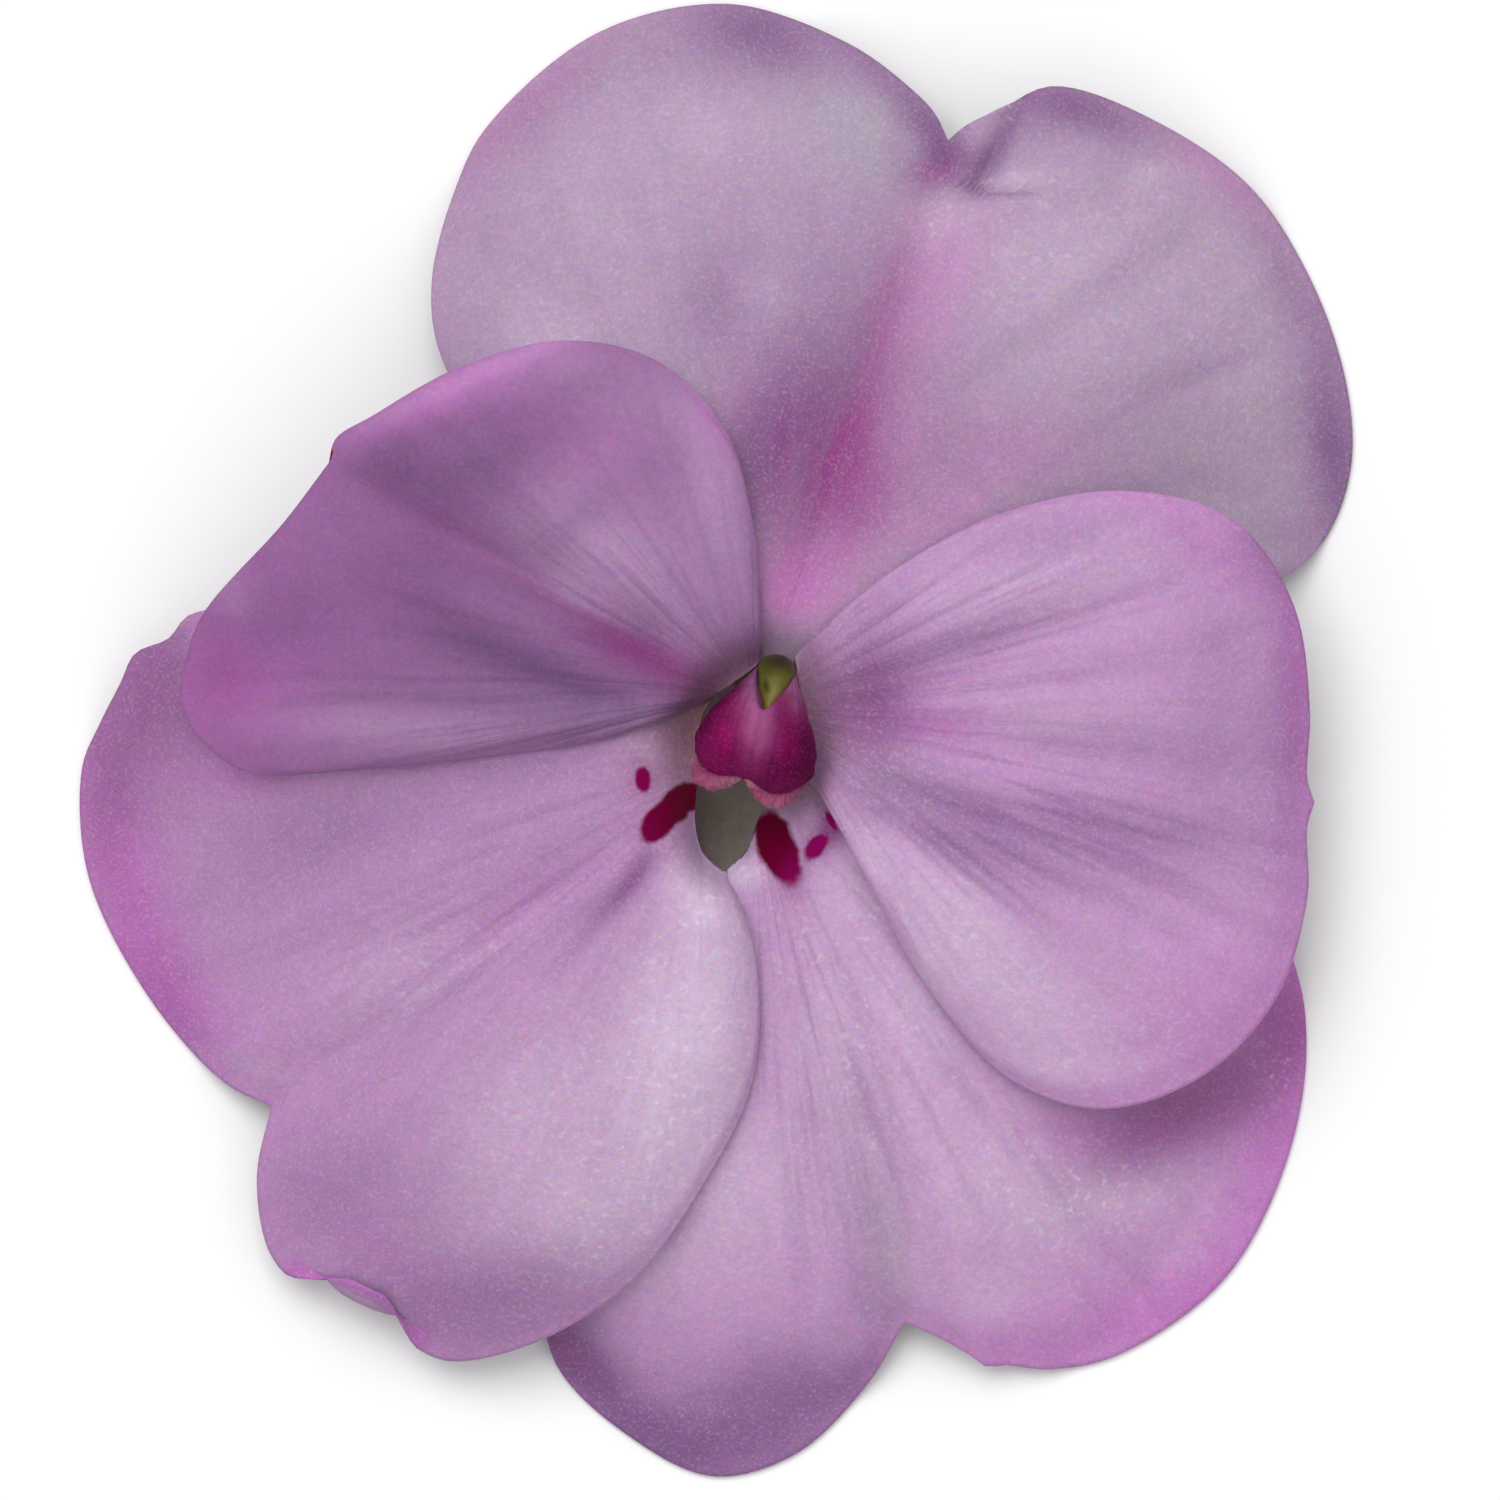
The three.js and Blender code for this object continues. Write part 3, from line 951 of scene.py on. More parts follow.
def top_petal() -> Petal:
    """The top petal, which lies behind the others.

    Returns:
        The petal, not yet built.
    """
    return Petal(
        name="top_petal_blade",
        node="top_petal",
        slot="top_petal",
        claw_points=((-0.5, 2.9, 7.0), (0.3, 3.3, 7.1), (1.1, 3.35, 7.1), (1.8, 3.0, 7.0)),
        shoulder=8.4,
        puff=0.9,
        crease=0.6,
        first_lobe=(
            (-0.9, 6.2, 7.2), (-6.5, 10.8, 6.0), (-11.8, 13.9, 4.4), (-13.2, 16.3, 3.4), (-13.5, 19.2, 2.4),
            (-12.6, 22.9, 0.8), (-11.3, 25.6, -0.6), (-6.6, 29.6, -1.7), (-1.2, 30.8, -1.2), (3.8, 29.1, 1.6),
            (6.6, 27.0, 3.2), (7.5, 26.0, 3.9),
        ),
        notch=(8.0, 24.9, 4.4),
        second_lobe=(
            (8.7, 25.5, 4.7), (9.6, 26.0, 4.8), (10.4, 26.4, 4.5), (12.4, 27.2, 4.0), (16.6, 25.8, 3.2),
            (21.0, 22.7, 1.4), (24.2, 16.8, -1.0), (24.9, 11.5, -1.5), (22.9, 7.4, 1.2), (16.4, 5.2, 4.4),
            (10.2, 4.0, 6.0), (5.2, 3.8, 7.0),
        ),
        folds=(
            Fold((9.6, 23.6), (11.0, 26.6), 0.6, 0.9),
            Fold((8.6, 22.9), (11.2, 22.6), 0.3, 0.25),
            Fold((7.4, 21.6), (5.0, 14.0), 1.4, 0.35),
            Fold((4.2, 14.5), (2.6, 8.0), 1.8, 0.5),
            Fold((10.5, 20.8), (16.5, 23.6), 0.7, 0.12),
            Fold((14.0, 14.2), (24.0, 16.2), 0.5, 0.1),
            Fold((10.4, 15.4), (17.6, 20.0), 1.0, 0.16),
            Fold((10.8, 17.4), (17.6, 22.2), 0.9, -0.18),
            Fold((-11.0, 17.0), (-4.0, 19.0), 0.9, 0.14),
            Fold((-12.8, 20.6), (-9.4, 19.6), 0.4, 0.1),
            Fold((18.4, 10.6), (23.6, 9.4), 0.6, 0.12),
        ),
        tints=spots(
            # Painted shade where the rims curve down, along the middle crease, under the pleat by the notch
            # and beside the upper right petal's rim; the rest is the tissue's deeper tone.
            shade=(
                ((0.3, 29.8), (3.2, 1.6), -15.0, 0.6), ((0.6, 28.6), (4.0, 1.6), -10.0, 0.25),
                ((6.2, 26.9), (4.5, 1.0), -46.0, 0.55), ((-11.6, 19.6), (2.2, 5.0), 0.0, 0.14),
                ((-1.6, 19.6), (2.4, 1.8), 60.0, 0.2), ((2.4, 18.0), (4.6, 2.2), 70.0, 0.3),
                ((7.0, 24.0), (1.6, 1.6), 0.0, 0.3), ((0.8, 12.2), (4.2, 2.3), 62.0, 0.95),
                ((7.8, 23.8), (1.3, 0.8), 14.0, 0.5), ((4.5, 10.2), (2.4, 1.3), 70.0, 0.22),
                ((-1.6, 17.5), (2.0, 1.5), 80.0, 0.32), ((7.3, 25.3), (1.6, 0.9), -50.0, 0.3),
                ((7.3, 14.6), (2.4, 1.5), 70.0, 0.22), ((-9.5, 25.6), (3.0, 1.2), 45.0, 0.2),
                ((15.5, 12.6), (8.0, 2.2), 6.0, 0.12), ((10.3, 25.0), (1.9, 0.45), 63.0, 0.6),
                ((11.3, 25.3), (1.9, 0.9), 50.0, 0.2), ((9.0, 22.85), (0.8, 0.18), -22.0, 0.7),
                ((10.5, 22.62), (1.0, 0.15), 4.0, 0.5), ((13.4, 26.3), (3.4, 1.2), -16.0, 0.8),
                ((1.2, 4.0), (1.3, 1.0), 0.0, 0.2), ((8.4, 11.8), (2.6, 1.5), 40.0, 0.16),
                ((21.9, 8.7), (1.6, 1.0), 0.0, 0.3), ((18.6, 15.4), (3.6, 0.35), 28.0, 0.25),
                ((24.2, 12.0), (1.4, 5.0), 8.0, 0.85), ((22.6, 19.0), (1.0, 4.0), 30.0, 0.3),
            ),
            pink=(
                ((-10.0, 26.4), (5.0, 1.2), 42.0, 0.3), ((6.6, 16.8), (6.0, 1.9), 72.0, 0.4),
                ((8.2, 19.6), (2.6, 1.4), 60.0, 0.2), ((2.2, 6.6), (2.6, 2.0), 60.0, 0.8),
                ((4.3, 10.0), (2.4, 1.4), 65.0, 0.4), ((1.0, 6.2), (2.4, 1.3), 79.0, 0.4),
                ((19.6, 23.4), (3.4, 0.9), -42.0, 0.35), ((11.6, 12.4), (4.2, 1.8), 10.0, 0.45),
                ((7.6, 9.2), (2.4, 1.1), 30.0, 0.45), ((-0.4, 13.8), (1.2, 1.8), 0.0, 0.35),
                ((21.9, 8.7), (1.8, 1.2), 0.0, 0.3),
            ),
            grey=(
                ((4.4, 25.6), (3.4, 2.6), -30.0, 0.7), ((1.2, 3.9), (1.3, 1.0), 0.0, 0.55),
                ((13.2, 13.6), (2.6, 1.6), 0.0, 0.3), ((19.0, 9.0), (2.0, 1.0), 0.0, 0.3),
                ((18.2, 12.6), (4.0, 2.2), 10.0, 0.4), ((21.5, 8.6), (3.4, 1.6), 30.0, 0.5),
            ),
            # Some pale spots are painted highlights on the lit side of the pleat by the notch.
            pale=(
                ((-6.2, 23.0), (4.0, 4.6), 20.0, 0.14), ((-7.6, 15.8), (4.5, 1.6), -38.0, 0.45),
                ((0.4, 18.5), (1.2, 1.2), 0.0, 0.25), ((15.6, 19.2), (8.0, 6.0), 20.0, 0.28),
                ((7.6, 21.6), (1.6, 1.1), 60.0, 0.45), ((10.5, 26.2), (0.8, 0.6), 60.0, 0.5),
                ((11.6, 20.2), (2.6, 2.0), 30.0, 0.2), ((-1.6, 25.6), (2.6, 1.6), 0.0, 0.25),
                ((21.2, 15.0), (2.6, 4.6), 10.0, 0.25), ((10.5, 23.2), (1.3, 0.4), 8.0, 0.5),
                ((16.2, 23.6), (0.9, 0.4), 20.0, 0.35),
            ),
            rose=(
                ((1.6, 13.0), (4.0, 2.6), 66.0, 0.2), ((3.5, 11.4), (3.4, 0.9), 68.0, 0.7),
                ((5.4, 17.6), (4.4, 1.1), 74.0, 0.5), ((5.4, 11.2), (3.4, 2.4), 60.0, 0.25),
                ((7.5, 23.5), (1.1, 0.7), 14.0, 0.4), ((4.6, 9.6), (2.2, 1.3), 70.0, 0.35),
                ((1.8, 11.0), (3.4, 1.6), 66.0, 0.35),
            ),
            # Painted shade where the petal runs down into the throat.
            throat=(((0.7, 3.0), (1.6, 0.7), -11.0, 0.7),),
            vein=(
                ((2.0, 12.0), (5.0, 2.4), 66.0, 0.7), ((-5.0, 19.0), (7.0, 5.0), -50.0, 0.25),
                ((16.0, 15.0), (8.0, 5.0), 30.0, 0.25),
            ),
        ),
        furrow_depth=0.05,
        rim_pink=0.1,
        seed=1.7,
    )


def left_upper_petal() -> Petal:
    """The upper left wing petal, which is cupped and lies over the top petal and the lower left one.

    Returns:
        The petal, not yet built.
    """
    return Petal(
        name="left_upper_petal_blade",
        node="left_wing_petals",
        slot="wing_petals",
        claw_points=((-2.3, 1.6, 7.4), (-1.8, 1.9, 7.5), (-1.2, 2.2, 7.6), (-0.6, 2.6, 7.7), (0.1, 3.1, 7.7)),
        shoulder=9.6,
        puff=0.5,
        crease=0.9,
        first_lobe=(
            (-4.5, 1.2, 8.8), (-5.6, 0.4, 8.8), (-7.6, -0.2, 8.5), (-10.7, -0.6, 8.2), (-16.5, -1.2, 7.2),
            (-21.4, -1.2, 5.8), (-23.8, 1.2, 5.4), (-23.6, 3.6, 5.6), (-22.9, 5.3, 5.6), (-19.6, 9.0, 6.0),
        ),
        notch=(-17.7, 11.5, 6.4),
        second_lobe=(
            (-17.4, 12.5, 6.7), (-15.9, 13.4, 7.0), (-12.3, 15.4, 7.8), (-8.0, 16.5, 8.6), (-4.0, 15.6, 9.0),
            (-1.2, 12.6, 9.3), (-0.2, 9.0, 9.1), (0.1, 5.8, 8.8),
        ),
        folds=(
            Fold((-13.6, 5.0), (-6.5, 1.9), 1.2, 0.5),
            Fold((-14.0, 13.2), (-7.0, 15.4), 0.9, -0.35),
            Fold((-12.5, 8.2), (-4.5, 4.4), 0.9, 0.35),
        ),
        tints=spots(
            # The first pale spot is a painted highlight along the upper rim, where it curls up; the others
            # are partly the tissue's paler tone.
            pale=(
                ((-11.8, 15.0), (5.0, 0.5), 24.0, 0.5), ((-7.0, 14.8), (4.6, 2.0), -8.0, 0.2),
                ((-1.8, 11.0), (1.4, 4.4), 16.0, 0.35), ((-5.2, 13.0), (3.4, 1.6), -50.0, 0.05),
                ((-21.8, 6.0), (0.8, 1.6), 30.0, 0.3), ((-5.4, 8.6), (5.5, 4.0), -50.0, 0.18),
                ((-6.4, 7.6), (5.0, 2.2), -36.0, 0.3), ((-7.5, 6.2), (1.6, 0.7), -35.0, 0.25),
                ((-6.6, 1.3), (2.4, 0.7), -10.0, 0.25), ((-14.6, 0.5), (6.0, 1.1), -5.0, 0.35),
            ),
            pink=(
                ((-12.6, 14.4), (5.0, 0.9), 25.0, 0.45), ((-7.8, 12.8), (4.0, 2.0), -20.0, 0.3),
                ((-17.0, 6.0), (6.0, 3.0), 40.0, 0.3), ((-21.4, 2.4), (3.0, 3.0), 0.0, 0.5),
                ((-1.6, 13.4), (0.9, 1.8), 20.0, 0.4),
            ),
            # Painted shade over the lower half of the cupped face, which turns from the lamp, and in its
            # furrows; partly the tissue's deeper tone.
            shade=(
                ((-15.2, 11.4), (1.6, 1.2), 0.0, 0.4), ((-12.4, 10.4), (3.8, 1.9), 10.0, 0.35),
                ((-9.4, 12.6), (4.4, 1.6), 24.0, 0.42), ((-20.4, 4.6), (3.0, 2.4), 0.0, 0.4),
                ((-13.5, 2.6), (6.0, 2.2), -10.0, 0.25), ((-7.2, 9.2), (1.8, 1.0), 40.0, 0.3),
                ((-16.4, 6.4), (3.2, 2.0), 20.0, 0.35), ((-4.2, 2.6), (4.0, 1.6), -24.0, 0.4),
                ((-11.0, 3.8), (3.8, 1.0), -18.0, 0.55), ((-8.0, 2.5), (3.6, 0.6), -22.0, 0.4),
                ((-4.3, 4.1), (1.5, 0.9), -45.0, 0.3), ((-13.4, 6.4), (2.6, 1.3), -31.0, 0.3),
                ((-3.9, 11.4), (1.6, 1.6), 0.0, 0.2), ((-7.4, 1.2), (3.0, 1.0), -12.0, 0.45),
            ),
            rose=(
                ((-4.4, 3.3), (3.6, 0.9), -24.0, 0.9), ((-10.0, 6.9), (5.0, 0.5), -31.0, 0.3),
                ((-22.2, 2.6), (1.8, 2.4), 0.0, 0.35),
            ),
            vein=(
                ((-6.0, 7.0), (6.0, 2.6), -40.0, 0.5), ((-9.0, 3.4), (5.0, 1.6), -20.0, 0.5),
                ((-12.0, 1.5), (7.0, 2.0), -6.0, 0.6),
            ),
            grey=(((-7.4, 1.0), (4.6, 1.0), -8.0, 0.3),),
            # Painted shade in the throat.
            throat=(((-0.6, 0.4), (2.9, 2.4), 79.0, 1.0),),
            mark=(((-17.65, 11.9), (0.16, 0.4), -15.0, 0.9),),
        ),
        furrow_depth=0.14,
        rim_pink=0.1,
        seed=5.1,
    )


def left_lower_petal() -> Petal:
    """The lower left wing petal, whose lowest rim rolls over.

    Returns:
        The petal, not yet built.
    """
    return Petal(
        name="left_lower_petal_blade",
        node="left_wing_petals",
        slot="wing_petals",
        claw_points=(
            (-1.5, -5.45, 6.2), (-2.35, -4.5, 6.2), (-2.6, -3.3, 6.4), (-2.5, -2.2, 6.6), (-2.4, -1.2, 6.8),
            (-2.4, 0.1, 6.8), (-2.2, 1.1, 6.9), (-1.6, 2.0, 6.9),
        ),
        shoulder=8.4,
        puff=0.6,
        crease=0.9,
        first_lobe=(
            (-1.2, -5.6, 8.0), (0.0, -9.5, 7.2), (-0.2, -14.2, 6.7), (-2.2, -18.4, 5.9), (-5.2, -22.5, 4.6),
            (-9.0, -25.0, 3.4), (-12.7, -25.9, 2.4), (-14.5, -25.3, 2.2), (-16.3, -25.0, 2.2),
            (-18.2, -24.1, 2.2), (-19.6, -22.4, 2.2), (-20.4, -21.1, 2.2), (-20.8, -18.2, 2.2),
        ),
        notch=(-20.2, -15.3, 2.2),
        second_lobe=(
            (-22.2, -14.3, 1.2), (-25.3, -10.9, -0.9), (-27.9, -5.8, -1.6), (-28.2, -1.2, -0.4),
            (-27.4, 0.7, 0.8), (-26.5, 2.4, 1.6), (-25.9, 3.6, 2.0), (-24.5, 4.2, 2.4), (-23.6, 5.2, 2.8),
            (-20.5, 5.4, 3.6), (-16.0, 4.9, 5.0), (-10.0, 4.4, 6.8), (-5.0, 3.4, 7.8),
        ),
        folds=(
            Fold((-7.6, -7.6), (-17.0, -13.2), 0.9, 0.4),
            Fold((-4.6, -5.2), (-8.4, -9.8), 0.6, 0.35),
            Fold((-7.0, -1.5), (-24.0, -4.0), 1.6, 0.3),
            Fold((-25.0, 3.4), (-22.8, 0.8), 0.5, 0.3),
        ),
        tints=spots(
            # The broad first pale spot is partly painted light on the right lobe, whose slope turns from the
            # lamp.
            pale=(
                ((-3.0, -13.0), (7.4, 2.8), 76.0, 0.85), ((-9.4, -14.6), (4.5, 2.6), 45.0, 0.36),
                ((-13.0, -9.6), (4.5, 1.3), 32.0, 0.45), ((-9.0, -19.0), (5.0, 3.0), 20.0, 0.3),
                ((-7.4, -20.4), (2.0, 2.0), 0.0, 0.22), ((-18.0, -1.1), (2.6, 0.7), 4.0, 0.4),
                ((-16.2, -23.3), (1.4, 1.0), 0.0, 0.4), ((-14.8, -9.0), (3.4, 1.4), 32.0, 0.25),
                ((-4.6, -0.2), (1.2, 0.9), -20.0, 0.25), ((-2.4, -6.4), (1.2, 1.6), 20.0, 0.45),
            ),
            pink=(
                ((-11.6, -8.2), (5.5, 1.3), 32.0, 0.35), ((-19.4, -1.0), (4.0, 1.0), 4.0, 0.45),
                ((-21.2, -1.2), (2.6, 1.3), 0.0, 0.3), ((-24.6, -11.2), (1.5, 2.2), 30.0, 0.35),
                ((-26.2, -6.0), (1.8, 6.0), 14.0, 0.8), ((-22.5, -12.0), (4.0, 1.8), -48.0, 0.35),
                ((-15.0, -22.0), (4.0, 1.4), -40.0, 0.3),
            ),
            # Painted shade in the grooves, under the edge of the upper left petal and along the rolled lower
            # rim; partly the tissue's deeper tone.
            shade=(
                ((-27.0, -1.5), (1.4, 3.2), 0.0, 0.35), ((-24.4, -11.6), (3.0, 1.0), -50.0, 0.35),
                ((-20.0, -5.6), (4.0, 1.4), 16.0, 0.18), ((-13.0, -10.6), (4.5, 0.5), 32.0, 0.3),
                ((-6.4, -7.2), (2.6, 0.5), 48.0, 0.4), ((-18.5, -2.6), (4.4, 1.0), 16.0, 0.05),
                ((-10.4, -1.2), (3.6, 0.9), 4.0, 0.22), ((-17.6, -3.7), (4.6, 1.4), 10.0, 0.36),
                ((-24.6, 3.9), (1.4, 1.0), 0.0, 0.3), ((-5.0, -5.7), (1.7, 0.45), 55.0, 0.7),
                ((-19.0, -18.6), (2.0, 2.0), 0.0, 0.2), ((-25.0, 2.2), (2.4, 2.6), 0.0, 0.7),
                ((-16.0, -19.0), (3.6, 3.0), 0.0, 0.3), ((-11.4, -23.2), (6.0, 2.0), 8.0, 0.6),
            ),
            vein=(((-11.0, -6.6), (8.0, 3.4), 32.0, 0.55),),
            # The rose spot in the groove by the throat paints the tinge of its shade.
            rose=(
                ((-25.4, 1.4), (2.6, 4.0), 0.0, 0.5), ((-27.2, -4.0), (1.4, 4.2), 6.0, 0.35),
                ((-24.7, -9.8), (1.4, 2.6), 24.0, 0.3), ((-5.0, -5.7), (1.6, 0.6), 55.0, 0.4),
                ((-4.8, -3.7), (0.8, 0.8), 0.0, 0.2), ((-4.7, -1.55), (1.0, 0.7), 100.0, 0.5),
            ),
            grey=(((-21.0, -13.6), (1.5, 0.8), -30.0, 0.5),),
            # Painted shade in the throat.
            throat=(((-1.2, 0.4), (2.9, 2.9), 79.0, 1.3),),
            mark=(
                ((-3.75, -3.12), (1.6, 0.72), 46.0, 1.0), ((-3.2, -2.4), (1.0, 0.62), 20.0, 0.9),
                ((-2.9, -2.35), (0.9, 0.75), 0.0, 1.0), ((-4.7, -1.55), (0.78, 0.46), 100.0, 0.8),
            ),
        ),
        furrow_depth=0.06,
        rim_pink=0.15,
        seed=9.3,
        roll=Roll(0.335, 0.418),
    )


def right_lower_petal() -> Petal:
    """The bottom petal, which lies under the lower left and the upper right ones.

    Returns:
        The petal, not yet built.
    """
    return Petal(
        name="right_lower_petal_blade",
        node="right_wing_petals",
        slot="wing_petals",
        claw_points=(
            (2.2, -1.2, 6.4), (1.6, -2.1, 6.2), (0.8, -2.5, 6.0), (0.15, -3.1, 5.8), (-0.2, -4.4, 5.8),
            (-1.2, -5.4, 5.9),
        ),
        shoulder=6.7,
        puff=0.7,
        crease=0.8,
        first_lobe=(
            (4.7, -2.5, 6.3), (9.3, -2.9, 5.6), (15.6, -4.2, 4.2), (20.6, -6.3, 2.6), (22.8, -10.5, 0.8),
            (22.6, -16.2, -1.2), (19.8, -22.3, -1.5), (15.2, -25.7, -0.3), (12.3, -26.3, 0.8),
            (10.4, -26.1, 1.3), (9.6, -26.15, 1.5), (9.0, -25.7, 1.7), (7.6, -24.9, 2.0),
        ),
        notch=(6.2, -24.3, 2.2),
        second_lobe=(
            (4.6, -27.0, 0.8), (1.6, -29.9, -1.1), (-1.8, -30.8, -1.7), (-5.2, -29.2, -1.3),
            (-8.4, -26.0, 0.4), (-8.7, -22.0, 1.8), (-6.8, -16.8, 3.3), (-4.0, -11.8, 4.4), (-0.6, -7.8, 3.8),
        ),
        folds=(
            Fold((4.2, -10.0), (6.0, -23.4), 0.8, 0.4),
            Fold((3.0, -8.5), (4.4, -16.0), 0.5, 0.2),
            Fold((6.5, -9.0), (12.0, -22.0), 1.6, 0.25),
        ),
        tints=spots(
            # The pale spots along the rims of the upper right petal are painted light, which lightens the
            # shade those rims cast on this petal.
            pale=(
                ((3.4, -11.0), (7.0, 2.8), -74.0, 0.6), ((12.0, -19.6), (6.0, 3.4), -20.0, 0.35),
                ((-1.2, -18.6), (3.8, 3.6), 0.0, 0.45), ((9.8, -23.2), (1.6, 1.0), 0.0, 0.3),
                ((11.6, -18.2), (3.4, 1.9), -20.0, 0.3), ((-4.5, -21.6), (1.6, 1.6), 0.0, 0.3),
                ((1.3, -8.4), (0.8, 1.8), 0.0, 0.35), ((4.2, -6.2), (1.8, 0.8), -66.0, 0.4),
                ((14.6, -18.9), (3.6, 1.2), 15.0, 0.4), ((21.8, -14.0), (1.2, 1.2), 0.0, 0.6),
                ((-0.7, -5.5), (1.0, 0.6), -10.0, 0.8), ((5.8, -9.8), (5.0, 1.1), -60.0, 0.5),
            ),
            # Painted shadows beside the rims of the lower left and upper right petals, and painted shade at
            # the tip, which curves down; the rest is the tissue's deeper tone.
            shade=(
                ((-1.2, -29.2), (5.8, 2.8), 0.0, 0.9), ((-7.6, -25.6), (3.2, 1.6), -50.0, 1.0),
                ((1.6, -26.6), (2.4, 2.0), 0.0, 0.35), ((4.4, -26.4), (2.4, 1.4), 40.0, 0.4),
                ((18.2, -15.4), (5.8, 1.5), 30.0, 0.45), ((4.9, -23.4), (1.5, 1.4), 0.0, 0.25),
                ((-4.4, -29.2), (3.0, 1.2), -30.0, 0.3), ((4.4, -20.0), (1.3, 4.0), 0.0, 0.15),
            ),
            # The first four rose spots, and the pink spot at (16.0, -16.0), paint the pink tinge of those
            # shadows.
            rose=(
                ((-8.2, -25.2), (2.4, 0.8), -50.0, 0.5), ((18.6, -14.9), (6.0, 1.8), 34.0, 0.6),
                ((12.4, -16.0), (1.6, 0.7), -10.0, 0.28), ((15.8, -16.0), (3.0, 0.9), 14.0, 0.15),
                ((22.0, -11.2), (0.9, 1.2), 0.0, 0.3), ((1.5, -5.9), (0.9, 0.8), -70.0, 0.55),
                ((2.6, -4.3), (1.0, 0.6), 48.0, 0.9), ((3.15, -3.4), (0.8, 0.5), -62.0, 0.8),
            ),
            grey=(((4.4, -17.4), (5.0, 1.4), -82.0, 0.35), ((5.6, -21.4), (2.6, 1.1), -80.0, 0.7)),
            vein=(((3.0, -14.0), (9.0, 3.4), -78.0, 0.5), ((12.0, -17.0), (8.0, 3.0), -50.0, 0.25)),
            pink=(
                ((21.6, -15.0), (7.0, 2.0), 78.0, 0.6), ((15.5, -24.0), (6.0, 1.8), 12.0, 0.55),
                ((21.8, -10.8), (1.4, 1.9), 0.0, 0.75), ((16.0, -16.0), (4.6, 1.6), 14.0, 0.42),
                ((14.8, -21.0), (3.2, 1.9), 10.0, 0.28), ((4.4, -12.6), (1.6, 4.0), 10.0, 0.16),
                ((1.4, -8.2), (2.8, 1.2), -85.0, 0.4), ((4.4, -7.6), (3.6, 1.1), -66.0, 0.3),
            ),
            # Painted shade in the throat.
            throat=(((1.2, -1.0), (2.0, 1.8), 30.0, 1.2),),
            mark=(
                ((0.92, -4.45), (2.1, 0.95), -70.0, 1.0), ((2.5, -4.4), (0.95, 0.5), 48.0, 0.8),
                ((3.15, -3.4), (0.6, 0.2), -62.0, 0.8),
            ),
        ),
        furrow_depth=0.07,
        rim_pink=0.35,
        seed=13.9,
    )


